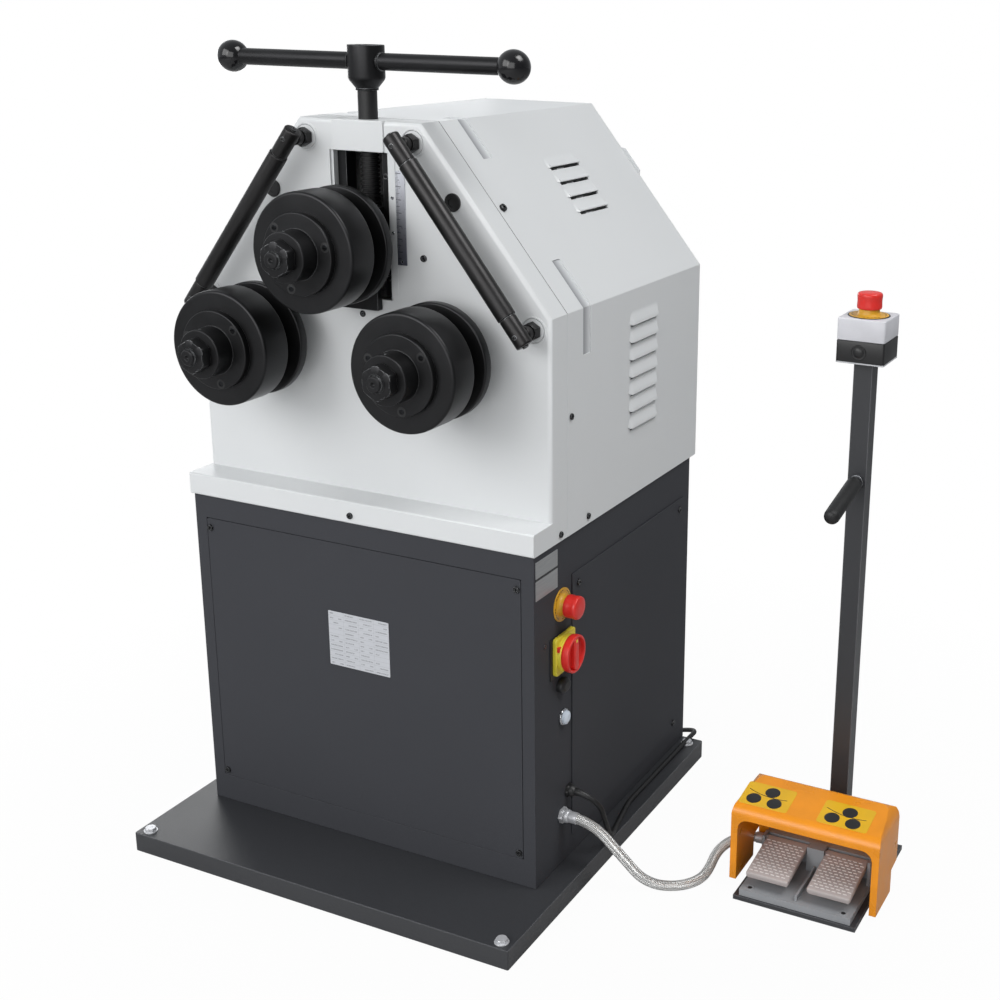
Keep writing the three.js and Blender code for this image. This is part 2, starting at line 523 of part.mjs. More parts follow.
function headFrame() {
  const margin = cover.sheet + frame.clear;
  const foot = cabinetTop + seat;
  const shape = outline(headOutline(margin, foot));
  const front = cover.sheet + frame.clear;
  const slotFloor = slotBottom - frame.slotDrop;
  const slotTool = (y0, y1) => block(
    [-frame.slotWidth / 2, y0 - overrun, slotFloor], [frame.slotWidth / 2, y1 + overrun, headTop + overrun]);
  const journals = bothSides([[lowerX, lowerZ]])
    .map(([x, z]) => atXZ(turnY(rod(journalBore, -bearingBoss.ahead - overrun, rearPlateRear + overrun), medium), x, z));
  const pinionHole = atXZ(
    turnY(rod(pinionBore, midPlate.front - overrun, rearPlateRear + overrun), medium), 0, lowerZ - pinionDrop());
  const bosses = bothSides([[lowerX, lowerZ]])
    .map(([x, z]) => atXZ(turnY(rod(bearingBoss.diameter / 2, -bearingBoss.ahead, front + seat), fine), x, z));
  const studPads = bothSides(studPlaces())
    .map(([x, z]) => atXZ(turnY(rod(studBoss.diameter / 2, 0, front + seat), medium), x, z));
  const studHoles = bothSides(studPlaces())
    .map(([x, z]) => atXZ(turnY(rod(bored(stud.diameter / 2 + seat, coarse), -overrun, front + frontPlate.thickness / 2), coarse), x, z));
  const side = coverSide - margin;
  const floor = block([-side, front, foot], [side, rearPlateRear, foot + frame.floorSheet]);
  const ties = [-1, 1].map((sign) => {
    const [a, b] = [sign * side, sign * (side - frame.tieWidth)].sort((p, q) => p - q);
    return block([a, front, foot], [b, rearPlateRear, foot + frame.tieHeight]);
  });
  const plates = [
    cut(prismY(shape, front, frontPlateRear), slotTool(front, frontPlateRear)),
    cut(prismY(shape, midPlate.front, midPlateRear), slotTool(midPlate.front, midPlateRear)),
    prismY(shape, rearPlate.front, rearPlateRear),
  ];
  const blockPocket = block(
    [-nutBlock.width / 2 - seat, -overrun, slotTop - seat],
    [nutBlock.width / 2 + seat, nutBlock.depth, headTop + overrun]);
  return piece('head_frame', cut(join(...plates, floor, ...ties, ...bosses, ...studPads),
    ...journals, pinionHole, ...studHoles, blockPocket), whitePaint);
}

function nutBlockPiece() {
  const shape = roundedRect(nutBlock.width, nutBlock.height, nutBlock.edge, 2);
  const body = atXZ(prismY(shape, -nutBlock.proud, nutBlock.depth - nutBlock.proud), 0, headTop - nutBlock.height / 2);
  const bore = turnZ(rod(screwBore, -nutBlock.height - overrun, overrun), medium);
  return piece('nut_block', cut(body, bore.translate([0, screwAxis, headTop])), whitePaint);
}

function guideStripPiece(name, sign) {
  const outer = frame.slotWidth / 2 - seat;
  const [a, b] = [sign * outer, sign * (outer - guideStrip.width)].sort((p, q) => p - q);
  const top = slotTop - guideStrip.drop;
  return piece(name, block([a, guideStrip.behind, top - guideStrip.height],
    [b, frontPlateRear, top]), blackOxide);
}

// Carriage, lead screw and handle

function carriagePiece() {
  const neckHalf = frame.slotWidth / 2 - seat - guideStrip.width - runningGap;
  const bodyHalf = frame.slotWidth / 2 - runningGap;
  const apronShape = roundedRect(apron.width, apron.above + apron.below, apron.edge, 2);
  const apronRear = -carriage.coverGap;
  const plate = atXZ(prismY(apronShape, apronRear - apron.thickness, apronRear), 0,
    topZ + (apron.above - apron.below) / 2);
  const neck = block([-neckHalf, apronRear - apron.thickness / 2, topZ - carriage.below],
    [neckHalf, frontPlateRear + runningGap + overrun, topZ + carriage.above]);
  const body = block([-bodyHalf, frontPlateRear + runningGap, topZ - carriage.below],
    [bodyHalf, midPlateRear, topZ + carriage.above]);
  const bore = atXZ(turnY(rod(journalBore, -disc.standOff, midPlateRear + overrun), medium), 0, topZ);
  const pocket = turnZ(rod(screwBore, -leadScrew.stepIn, overrun), medium)
    .translate([0, screwAxis, topZ + carriage.above]);
  return piece('carriage', cut(join(plate, neck, body), bore, pocket), blackOxide);
}

function handleGroup() {
  const group = new THREE.Group();
  group.position.set(0, screwAxis, 0);
  group.rotation.z = handle.turn * Math.PI / 180;
  const screwRadius = leadScrew.diameter / 2;
  const screwFoot = topZ + carriage.above - leadScrew.stepIn + seat;
  const barRadius = handle.barDiameter / 2;
  const screwTop = barZ - barRadius - 2 * seat;
  group.add(piece('lead_screw', turnZ([
    [0, screwFoot], [screwRadius - leadScrew.relief, screwFoot], [screwRadius, screwFoot + leadScrew.relief],
    [screwRadius, screwTop], [0, screwTop],
  ], medium), blackOxide));

  const hubBody = turnZ([
    [0, hubFoot], [hub.footDiameter / 2, hubFoot], [hub.diameter / 2, hubFoot + hub.chamferHeight],
    [hub.diameter / 2, hubTop - hub.edge], [hub.diameter / 2 - hub.edge, hubTop], [0, hubTop],
  ], fine);
  const screwSocket = turnZ(rod(screwBore, hubFoot - overrun, screwTop + seat), medium);
  const crossBore = turnX(rod(bored(barRadius + seat, medium), -hub.diameter, hub.diameter), medium).translate([0, 0, barZ]);
  group.add(piece('handle_hub', cut(hubBody, screwSocket, crossBore), blackOxide));

  const spigot = handle.spigotDiameter / 2;
  const knobRadius = knob.diameter / 2;
  const flatHeight = Math.sqrt(knobRadius ** 2 - (knob.flatDiameter / 2) ** 2);
  const barEnd = handle.reach - flatHeight - seat;
  const spigotEnd = barEnd + handle.spigotLength;
  group.add(piece('handle_bar', turnX([
    [0, -spigotEnd], [spigot, -spigotEnd], [spigot, -barEnd], [barRadius, -barEnd],
    [barRadius, barEnd], [spigot, barEnd], [spigot, spigotEnd], [0, spigotEnd],
  ], medium).translate([0, 0, barZ]), blackOxide));

  const firstAngle = Math.asin(knob.flatDiameter / knob.diameter);
  const arcSteps = 8;
  const arc = Array.from({ length: arcSteps + 1 }, (_, i) => {
    const angle = firstAngle + (Math.PI - firstAngle) * i / arcSteps;
    return [i === arcSteps ? 0 : knobRadius * Math.sin(angle), -knobRadius * Math.cos(angle)];
  });
  const boreDepth = -flatHeight + handle.spigotLength + seat;
  const socket = bored(spigot + seat, medium);
  const ball = turnX([[0, boreDepth], [socket, boreDepth], [socket, -flatHeight], ...arc], medium);
  group.add(piece('handle_knob_right', ball.translate([handle.reach, 0, barZ]), blackOxide));
  group.add(piece('handle_knob_left', ball.mirror([1, 0, 0]).translate([-handle.reach, 0, barZ]), blackOxide));
  return group;
}

// Rolls

function rollSet(prefix, x, z, tail) {
  const group = new THREE.Group();
  group.position.set(x, 0, z);
  const bore = bored(shaft.seatDiameter / 2 + seat, medium);
  const threadBore = bored(shaft.threadDiameter / 2 + seat, medium);
  const seatRadius = shaft.seatDiameter / 2;
  const spacer = groove.spacerDiameter / 2;
  const thread = shaft.threadDiameter / 2;
  const shoulder = shaft.shoulderDiameter / 2;
  const journal = shaft.journalDiameter / 2;
  const threadRear = collarFront + flange.wall + seat;
  const shoulderRear = -(carriage.coverGap + apron.thickness + shoulderGap);
  group.add(piece(`${prefix}_shaft`, turnY([
    [0, shaftFront], [thread - shaftEnd.chamfer, shaftFront], [thread, shaftFront + shaftEnd.chamfer],
    [thread, threadRear], [seatRadius, threadRear], [seatRadius, rollRear + seat], [spacer, rollRear + seat],
    [spacer, discFront - seat], [seatRadius, discFront - seat], [seatRadius, discRear + seat],
    [shoulder, discRear + seat], [shoulder, shoulderRear], [journal, shoulderRear], [journal, tail], [0, tail],
  ], medium), blackOxide));
  group.add(piece(`${prefix}_front_roll`, turnY(closed([
    [bore, rollFront], [rollRadius - roll.edge, rollFront], [rollRadius - roll.edge / 4, rollFront + roll.edge / 3],
    [rollRadius, rollFront + roll.edge], [rollRadius, rollRear - roll.backEdge],
    [rollRadius - roll.backEdge, rollRear], [bore, rollRear],
  ]), fine), blackOxide));
  group.add(piece(`${prefix}_rear_disc`, turnY(closed([
    [bore, discFront], [rollRadius - disc.edge, discFront], [rollRadius, discFront + disc.edge],
    [rollRadius, discRear - disc.edge], [rollRadius - disc.edge, discRear], [bore, discRear],
  ]), fine), blackOxide));
  const flangeRadius = flange.diameter / 2;
  const collar = flange.collarDiameter / 2;
  const flangeRear = rollFront - seat;
  group.add(piece(`${prefix}_flange`, turnY(closed([
    [threadBore, collarFront], [collar - flange.edge, collarFront], [collar, collarFront + flange.edge],
    [collar, flangeFront], [flangeRadius - flange.edge, flangeFront], [flangeRadius, flangeFront + flange.edge],
    [flangeRadius, flangeRear], [bore, flangeRear], [bore, collarFront + flange.wall],
    [threadBore, collarFront + flange.wall],
  ]), medium), blackOxide));
  const nutShape = hexShape(nut.acrossFlats, Math.PI / 6);
  nutShape.holes.push(circleHole(threadBore, medium));
  const nutCorner = nut.acrossFlats / Math.sqrt(3);
  const dome = turnY([
    [0, nutFront - overrun], [nutCorner - nut.chamfer - overrun, nutFront - overrun],
    [nutCorner + overrun, nutFront + nut.chamfer + overrun], [nutCorner + overrun, collarFront + overrun],
    [0, collarFront + overrun],
  ], medium);
  const nutBody = prismY(nutShape, nutFront, collarFront - seat).intersect(dome);
  group.add(piece(`${prefix}_nut`, nutBody, blackOxide));
  return group;
}

// Gears

function involute(angle) {
  return Math.tan(angle) - angle;
}

function gearShape(teeth, firstTooth) {
  const pressure = gearing.pressureAngle * Math.PI / 180;
  const pitchRadius = gearing.module * teeth / 2;
  const baseRadius = pitchRadius * Math.cos(pressure);
  const tip = pitchRadius + gearing.module;
  const root = pitchRadius - gearing.dedendum * gearing.module;
  const halfTooth = Math.PI / (2 * teeth) - gearing.backlash / (4 * pitchRadius) + involute(pressure);
  const start = Math.max(baseRadius, root);
  const flankSteps = 2;
  const flank = Array.from({ length: flankSteps + 1 }, (_, i) => {
    const radius = start + (tip - start) * i / flankSteps;
    return [radius, halfTooth - involute(Math.acos(baseRadius / radius))];
  });
  const points = [];
  const add = (radius, angle) => points.push([radius * Math.cos(angle), radius * Math.sin(angle)]);
  for (let tooth = 0; tooth < teeth; tooth += 1) {
    const centre = firstTooth + 2 * Math.PI * tooth / teeth;
    if (start - root > gearing.module / 4) add(root, centre - flank[0][1]);
    flank.forEach(([radius, half]) => add(radius, centre - half));
    [...flank].reverse().forEach(([radius, half]) => add(radius, centre + half));
    if (start - root > gearing.module / 4) add(root, centre + flank[0][1]);
  }
  return outline(points);
}

function pinionDrop() {
  const reach = gearing.module * (gearTeeth + pinionTeeth) / 2 + gearing.spare;
  return Math.sqrt(reach ** 2 - lowerX ** 2);
}

// The pinion has a tooth straight up. A gear in the direction bearing from the pinion gets the
// phase that puts one of its teeth in the pinion's space there.
function gearPhase(bearing) {
  const pinionPitch = 2 * Math.PI / pinionTeeth;
  const firstSpace = Math.PI / 2 + pinionPitch / 2;
  const offset = bearing - firstSpace;
  const fromSpace = offset - Math.round(offset / pinionPitch) * pinionPitch;
  return bearing + Math.PI + fromSpace * pinionTeeth / gearTeeth;
}

function spurGear(name, x) {
  const shape = gearShape(gearTeeth, gearPhase(Math.atan2(pinionDrop(), x)));
  const bore = bored(shaft.journalDiameter / 2 + seat, medium);
  shape.holes.push(circleHole(bore, medium));
  const blank = prismY(shape, gearBlank.front, gearBlank.front + gearBlank.width);
  const bossFront = gearBlank.front - gearBlank.hubLength;
  const boss = turnY(closed([
    [bore, bossFront], [gearBlank.hubDiameter / 2, bossFront],
    [gearBlank.hubDiameter / 2, gearBlank.front + seat], [bore, gearBlank.front + seat],
  ]), medium);
  return piece(name, atXZ(join(blank, boss), x, lowerZ), rawSteel);
}

function drivePinion() {
  const front = gearBlank.front - pinionBlank.ahead;
  const teeth = prismY(gearShape(pinionTeeth, Math.PI / 2), front, front + pinionBlank.width);
  const shaftBar = turnY(
    rod(pinionBlank.shaftDiameter / 2, midPlate.front + seat, rearPlateRear + pinionBlank.tail), medium);
  return piece('drive_pinion', atXZ(join(teeth, shaftBar), 0, lowerZ - pinionDrop()), rawSteel);
}

function gearboxPiece() {
  const axisZ = lowerZ - pinionDrop();
  const top = axisZ + gearbox.height - gearbox.axisDrop;
  const shape = roundedRect(gearbox.width, gearbox.height, gearbox.edge, 2);
  const front = rearPlateRear + seat;
  const body = atXZ(prismY(shape, front, front + gearbox.depth), 0, top - gearbox.height / 2);
  const pocket = atXZ(turnY(rod(pinionBore, front - overrun, front + gearbox.pocket), medium), 0, axisZ);
  return piece('gearbox', cut(body, pocket), greyCasting);
}

function motorPiece() {
  const foot = lowerZ - pinionDrop() - gearbox.axisDrop - seat;
  const radius = motor.diameter / 2;
  const body = turnZ([
    [0, foot - motor.length], [motor.cowlDiameter / 2, foot - motor.length],
    [motor.cowlDiameter / 2, foot - motor.length + motor.cowlLength], [radius, foot - motor.length + motor.cowlLength],
    [radius, foot - motor.flangeThickness], [motor.flangeDiameter / 2, foot - motor.flangeThickness],
    [motor.flangeDiameter / 2, foot], [0, foot],
  ], medium);
  return piece('motor', body.translate([0, rearPlateRear + seat + gearbox.depth / 2, 0]), greyCasting);
}

// Guide bars

function guideBarPiece(name, sign) {
  const bar = guideBar.diameter / 2;
  const cap = guideBar.capDiameter / 2;
  const jointRear = guideBar.length - guideBar.capLength;
  const edge = guideBarEnd.chamfer;
  const body = turnY([
    [0, 0], [cap - edge, 0], [cap, edge], [cap, guideBar.capLength - guideBar.jointGroove],
    [cap - guideBar.jointGroove, guideBar.capLength], [bar, guideBar.capLength],
    [bar, jointRear], [cap - guideBar.jointGroove, jointRear], [cap, jointRear + guideBar.jointGroove],
    [cap, guideBar.length - edge], [cap - edge, guideBar.length], [0, guideBar.length],
  ], medium);
  const place = body.rotate([-90, 0, 0]).rotate([0, -barLean * 180 / Math.PI, 0])
    .translate([guideBarEnd.across, -guideBar.standOff, headTop - guideBarEnd.drop]);
  const studEnd = cover.sheet + frame.clear + frontPlate.thickness / 2 - seat;
  const hexEnd = -stud.hexGap;
  const studs = studPlaces().map(([x, z]) => atXZ(join(
    turnY(rod(stud.diameter / 2, -guideBar.standOff, studEnd), coarse),
    prismY(hexShape(stud.hexAcross), hexEnd - stud.hexLength, hexEnd)), x, z));
  const whole = join(place, ...studs);
  return piece(name, sign > 0 ? whole : whole.mirror([1, 0, 0]), blackOxide);
}

// Controls

function onCabinetSide(body, behind, height) {
  return body.translate([cabinetSide + seat, cabinetFront + behind, cabinetFoot + height]);
}

function stopCollarPiece() {
  const radius = stopCollar.diameter / 2;
  const bore = bored(stopButton.stemDiameter / 2 + runningGap, medium);
  return piece('stop_collar', onCabinetSide(turnX(closed([
    [bore, 0], [radius, 0], [radius, stopCollar.thickness - stopCollar.rim],
    [radius - stopCollar.rim, stopCollar.thickness], [bore, stopCollar.thickness],
  ]), medium), stopCollar.behind, stopHeight), yellowPlastic);
}

function mushroom({ diameter, stemDiameter, gap, dome }, length, stemFrom, stemTo) {
  const radius = diameter / 2;
  return [
    [0, stemFrom], [stemDiameter / 2, stemFrom], [stemDiameter / 2, stemTo + gap], [radius - dome / 2, stemTo + gap],
    [radius, stemTo + gap + dome], [radius, stemTo + gap + length - dome],
    [radius - dome / 3, stemTo + gap + length - dome / 3], [radius - dome, stemTo + gap + length],
    [0, stemTo + gap + length],
  ];
}

function stopButtonPiece() {
  const profile = mushroom(stopButton, stopButton.headLength, stopButton.travel + seat, stopCollar.thickness);
  return piece('stop_button', onCabinetSide(turnX(profile, medium), stopCollar.behind, stopHeight), redPlastic);
}

function switchPlatePiece() {
  const shape = roundedRect(switchPlate.size, switchPlate.size, switchPlate.corner, 3);
  const face = switchPlate.thickness + switchPlate.bossLength;
  const stemRadius = bored(switchKnob.stemDiameter / 2 + runningGap, coarse);
  const stemBore = turnX(rod(stemRadius, switchPlate.thickness / 2, face + overrun), coarse);
  const boss = turnX(rod(switchPlate.bossDiameter / 2, 0, face), medium);
  return piece('switch_plate', onCabinetSide(cut(join(prismX(shape, 0, switchPlate.thickness), boss), stemBore),
    switchPlate.behind, switchHeight), yellowPlastic);
}

function switchKnobPiece() {
  const base = switchPlate.thickness + switchPlate.bossLength + seat;
  const face = base + switchKnob.thickness;
  const radius = switchKnob.diameter / 2;
  const dial = turnX([
    [0, base], [radius, base], [radius, face - switchKnob.edge], [radius - switchKnob.edge, face], [0, face],
  ], medium);
  const stem = turnX(rod(switchKnob.stemDiameter / 2, switchPlate.thickness / 2 + seat, base + seat), coarse);
  const gripShape = roundedRect(switchKnob.gripWidth, switchKnob.diameter, switchKnob.gripWidth / 2, 3);
  const bar = prismX(gripShape, base, face + switchKnob.gripHeight);
  return piece('switch_knob', onCabinetSide(join(dial, stem, bar), switchPlate.behind, switchHeight), redPlastic);
}

function pilotLampPiece() {
  const bezel = pilotLamp.diameter / 2;
  const lens = pilotLamp.lensDiameter / 2;
  return piece('pilot_lamp', onCabinetSide(turnX([
    [0, 0], [bezel, 0], [bezel, pilotLamp.bezelLength], [lens, pilotLamp.bezelLength],
    [lens, pilotLamp.bezelLength + pilotLamp.lensLength / 2], [lens / 2, pilotLamp.bezelLength + pilotLamp.lensLength],
    [0, pilotLamp.bezelLength + pilotLamp.lensLength],
  ], medium), pilotLamp.behind, lampHeight), lensPlastic);
}

function cableGland() {
  const nutBody = prismX(hexShape(gland.diameter), 0, gland.length);
  const neck = turnX(rod(gland.neckDiameter / 2, gland.length - seat, gland.length + gland.neckLength), coarse);
  return piece('cable_gland', onCabinetSide(join(nutBody, neck), gland.behind, gland.height), blackPlastic);
}

function hoseFittingPiece() {
  const nutBody = prismX(hexShape(hoseFitting.across), 0, hoseFitting.hexLength);
  const sleeve = turnX(rod(hoseFitting.nutDiameter / 2, hoseFitting.hexLength - seat,
    hoseFitting.hexLength + hoseFitting.nutLength), medium);
  return piece('hose_fitting', onCabinetSide(join(nutBody, sleeve), hoseFitting.behind, hoseFitting.height), chrome);
}

// Foot station

const stationX = traySide + station.fromTray;
const stationRear = station.front + station.depth;
const postY = stationRear - post.fromRear - post.size / 2;
const postTop = station.sheet + post.height;
const atPost = (body) => body.translate([stationX, postY, 0]);
const atStation = (body) => body.translate([stationX, station.front, 0]);

function stationStand() {
  const plate = block([-station.width / 2, 0, 0], [station.width / 2, station.depth, station.sheet]);
  const tube = block([-post.size / 2, -post.size / 2, station.sheet - seat], [post.size / 2, post.size / 2, postTop]);
  const cap = block([-post.capSize / 2, -post.capSize / 2, postTop - post.capSheet],
    [post.capSize / 2, post.capSize / 2, postTop]);
  const inner = post.size / 2 - post.wall;
  const bore = block([-inner, -inner, station.sheet], [inner, inner, postTop + overrun]);
  const gripHole = turnY(rod(bored(grip.neckDiameter / 2 + seat, coarse), -post.size, 0), coarse).translate([0, 0, grip.height]);
  return piece('station_stand', join(atStation(plate), atPost(cut(join(tube, cap), bore, gripHole))), greyPaint);
}

function stationGrip() {
  const radius = grip.diameter / 2;
  const body = turnY([
    [0, 0], [radius - grip.rim, 0], [radius, grip.rim], [radius, grip.length - grip.rim],
    [radius - grip.rim, grip.length], [0, grip.length],
  ], medium).translate([0, -grip.length, 0]).rotate([grip.tilt, 0, 0]);
  const neckFrom = -post.size / 2 - grip.neckLength - radius * Math.sin(grip.tilt * Math.PI / 180);
  const neck = turnY(rod(grip.neckDiameter / 2, neckFrom - grip.rim, -post.size / 2 + post.wall), coarse);
  return piece('station_grip', atPost(join(body.translate([0, neckFrom, 0]), neck).translate([0, 0, grip.height])),
    rubber);
}

function stopBoxBase() {
  const foot = postTop + seat;
  return piece('stop_box_base', atPost(chamferedBox(stopBox.size, foot, foot + stopBox.baseHeight, stopBox.corner)),
    blackPlastic);
}

const lidFoot = postTop + 2 * seat + stopBox.baseHeight;
const lidTop = lidFoot + stopBox.lidHeight;

function stopBoxLid() {
  const shell = chamferedBox(stopBox.size, lidFoot, lidTop, stopBox.corner);
  const collar = turnZ(rod(remoteCollar.diameter / 2, lidTop - seat, lidTop + remoteCollar.height), medium);
  const boreRadius = bored(remoteButton.stemDiameter / 2 + runningGap, medium);
  const bore = turnZ(
    rod(boreRadius, lidTop - remoteCollar.height, lidTop + remoteCollar.height + overrun), medium);
  return piece('stop_box_lid', atPost(cut(join(shell, collar), bore)), whitePlastic);
}

function remoteStopButton() {
  const profile = mushroom(remoteButton, remoteButton.headHeight,
    lidTop - remoteCollar.height + stopButton.travel + seat, lidTop + remoteCollar.height);
  return piece('remote_stop_button', atPost(turnZ(profile, medium)), redPlastic);
}

const castFoot = station.sheet + seat;
const castTop = castFoot + pedalBase.height;
const hingeY = pedalBase.wallFront - cheek.length / 2;
const hingeZ = castTop + treadle.above + treadle.thickness / 2;
const treadleX = cheek.centreWidth / 2 + trunnion.sideGap + treadle.width / 2;

function pedalBasePiece() {
  const half = pedalBase.width / 2;
  const profile = outline([
    [pedalBase.front, castFoot], [pedalBase.front + pedalBase.length, castFoot],
    [pedalBase.front + pedalBase.length, castFoot + pedalBase.rearHeight],
    [pedalBase.wallFront + pedalBase.crest, castFoot + pedalBase.wallHeight],
    [pedalBase.wallFront, castFoot + pedalBase.wallHeight], [pedalBase.wallFront, castTop],
    [pedalBase.front, castTop],
  ]);
  const casting = prismX(profile, -half, half);
  const cheekFront = pedalBase.wallFront - cheek.length;
  const cheekTop = castTop + treadle.above + cheek.height;
  const outerCheek = (sign) => {
    const [a, b] = [sign * half, sign * (half - cheek.width)].sort((p, q) => p - q);
    return block([a, cheekFront, castTop - seat], [b, pedalBase.wallFront + seat, cheekTop]);
  };
  const centreBlock = block([-cheek.centreWidth / 2, cheekFront, castTop - seat],
    [cheek.centreWidth / 2, pedalBase.wallFront + seat, cheekTop]);
  const ridge = block([-pedalRidge.width / 2, pedalBase.front + pedalRidge.front, castTop - seat],
    [pedalRidge.width / 2, cheekFront + seat, castTop + pedalRidge.height]);
  const pins = [-1, 1].map((sign) => {
    const inner = treadleX - treadle.width / 2 - trunnion.reach - trunnion.clear;
    const outer = treadleX + treadle.width / 2 + trunnion.reach + trunnion.clear;
    const [a, b] = [sign * inner, sign * outer].sort((p, q) => p - q);
    return turnX(rod(bored(trunnion.diameter / 2 + trunnion.clear, coarse), a, b), coarse)
      .translate([0, hingeY, hingeZ]);
  });
  const entry = turnX(rod(baseGland.diameter / 2, -half - baseGland.length, -half + seat), coarse)
    .translate([0, pedalBase.wallFront + baseGland.fromWall, baseGland.height + castFoot]);
  const body = cut(join(casting, outerCheek(1), outerCheek(-1), centreBlock, ridge), ...pins);
  return piece('pedal_base', atStation(join(body, entry)), greyCasting);
}

function treadlePiece(name, sign) {
  const foot = castTop + treadle.above;
  const rear = hingeY + treadle.thickness / 2;
  const front = rear - treadle.length;
  const profile = roundedRect(treadle.length, treadle.thickness, treadle.thickness / 3, 2);
  const plate = prismX(profile, -treadle.width / 2, treadle.width / 2)
    .translate([0, (front + rear) / 2, foot + treadle.thickness / 2]);
  const pad = turnZ(rod(treadle.padDiameter / 2, foot - treadle.padHeight, foot + seat), coarse)
    .translate([0, front + treadle.padFromFront, 0]);
  const reach = treadle.width / 2 + trunnion.reach;
  const pin = turnX(rod(trunnion.diameter / 2, -reach, reach), coarse).translate([0, hingeY, hingeZ]);
  const level = join(plate, pad, pin).translate([0, -hingeY, -hingeZ]);
  const tilted = level.rotate([treadle.tilt, 0, 0]).translate([sign * treadleX, hingeY, hingeZ]);
  return piece(name, atStation(tilted), greyCasting);
}

function pedalGuard() {
  const foot = station.sheet + guard.footLift;
  const top = foot + guard.height;
  const front = guard.front;
  const profile = (inset) => outline([
    [front - inset, foot - overrun * (inset ? 1 : 0)],
    [front - inset, top - guard.roofDrop - guardShape.frontRound - inset],
    [front + guardShape.frontRound / 3, top - guard.roofDrop - guardShape.frontRound / 3 - inset],
    [front + guardShape.frontRound, top - guard.roofDrop - inset],
    [front + guard.topDepth - guardShape.frontRound, top - inset],
    [front + guard.topDepth - (inset ? guardShape.rearWall : 0), top - guardShape.frontRound / 2 - inset],
    [front + guard.topDepth - (inset ? guardShape.rearWall : 0), foot + guardShape.rearLegLift + guardShape.shoulderLift - inset],
    [front + guard.legDepth, foot + guardShape.rearLegLift],
    [front + guard.legDepth, foot - overrun * (inset ? 1 : 0)],
  ]);
  const shell = prismX(profile(0), -guard.width / 2, guard.width / 2);
  const crown = roundedRect(guard.width, 2 * guard.height, guardShape.corner, 4);
  const rounding = atXZ(prismY(crown, -overrun, 2 * guard.topDepth), 0, top - guard.height);
  const innerCrown = roundedRect(guard.width - 2 * guard.wall, 2 * guard.height, guardShape.corner - guard.wall / 2, 4);
  const room = prismX(outline([
    [front + guard.browDepth, foot - overrun], [front + guard.browDepth, top],
    [front + guard.topDepth - guardShape.rearWall, top], [front + guard.topDepth - guardShape.rearWall, foot - overrun],
  ]), -guard.width, guard.width);
  const inside = atXZ(prismY(innerCrown, -overrun, 2 * guard.topDepth), 0, top - guard.roofDrop - guard.wall - guard.height);
  const doorway = atXZ(prismY(innerCrown, -overrun, front + guard.browDepth + overrun), 0,
    top - guard.roofDrop - guard.brow - guard.height);
  const under = block([-guard.width / 2 + guard.wall, front - overrun, foot - overrun],
    [guard.width / 2 - guard.wall, front + guard.topDepth + overrun, castFoot + pedalBase.wallHeight + seat]);
  const open = cut(shell.intersect(rounding), inside.intersect(room), doorway, under);
  const saddleTop = foot + guardShape.rearLegLift + 2 * guardShape.shoulderLift;
  const saddle = block([-guardShape.saddleWidth / 2, front + guard.topDepth - guardShape.rearWall,
    castFoot + pedalBase.wallHeight + seat], [guardShape.saddleWidth / 2, front + guard.topDepth, saddleTop]);
  const inner = guard.width / 2 - guard.wall;
  const wings = [-1, 1].map((sign) => {
    const [a, b] = [sign * (pedalBase.width / 2 + seat), sign * inner].sort((p, q) => p - q);
    return block([a, front + guard.topDepth - guardShape.rearWall, foot + guardShape.wingHeight],
      [b, front + guard.topDepth, saddleTop]);
  });
  return piece('pedal_guard', atStation(join(open, saddle, ...wings)), orangePlastic);
}

// Cords

function tubeAlong(points, { diameter, steps, sides }) {
  const path = new THREE.CatmullRomCurve3(points.map((p) => new THREE.Vector3(...p)), false, 'centripetal');
  const section = circleShape(diameter / 2, sides);
  return solid(new THREE.ExtrudeGeometry(section, { steps, bevelEnabled: false, extrudePath: path }));
}

// The coil winds in on the floor and out again one layer up: a point for a number of turns
function coilPoint(turns) {
  const middle = coil.halfTurns / 4;
  const radius = coil.innerRadius + coil.pitch * Math.abs(turns - middle);
  const climb = THREE.MathUtils.smoothstep(turns, middle - coil.climbTurns, middle + coil.climbTurns);
  const angle = 2 * Math.PI * turns;
  return new THREE.Vector3(
    coilCentre[0] + radius * Math.cos(angle), coilCentre[1] + radius * Math.sin(angle),
    cord.diameter / 2 + coil.pitch * climb);
}

function coilPath() {
  const count = Math.round(coil.halfTurns / 2 * coil.stepsPerTurn);
  return Array.from({ length: count + 1 }, (_, i) => coilPoint(i / coil.stepsPerTurn));
}

function sweep(path, radius, sides) {
  const positions = [];
  const faces = [];
  const up = new THREE.Vector3(0, 0, 1);
  path.forEach((point, i) => {
    const before = path[Math.max(i - 1, 0)];
    const after = path[Math.min(i + 1, path.length - 1)];
    const along = after.clone().sub(before).normalize();
    const across = along.clone().cross(up).normalize();
    const rise = across.clone().cross(along).normalize();
    for (let k = 0; k < sides; k += 1) {
      const angle = 2 * Math.PI * (k + 0.5) / sides;
      const corner = point.clone().addScaledVector(across, radius * Math.cos(angle))
        .addScaledVector(rise, radius * Math.sin(angle));
      positions.push(corner.x, corner.y, corner.z);
    }
    if (i === 0) return;
    for (let k = 0; k < sides; k += 1) {
      const [a, b] = [(i - 1) * sides + k, (i - 1) * sides + (k + 1) % sides];
      faces.push(a, b, b + sides, a, b + sides, a + sides);
    }
  });
  const last = (path.length - 1) * sides;
  for (let k = 1; k < sides - 1; k += 1) {
    faces.push(0, k + 1, k, last, last + k, last + k + 1);
  }
  const geometry = new THREE.BufferGeometry();
  geometry.setAttribute('position', new THREE.Float32BufferAttribute(positions, 3));
  geometry.setIndex(faces);
  return solid(geometry);
}

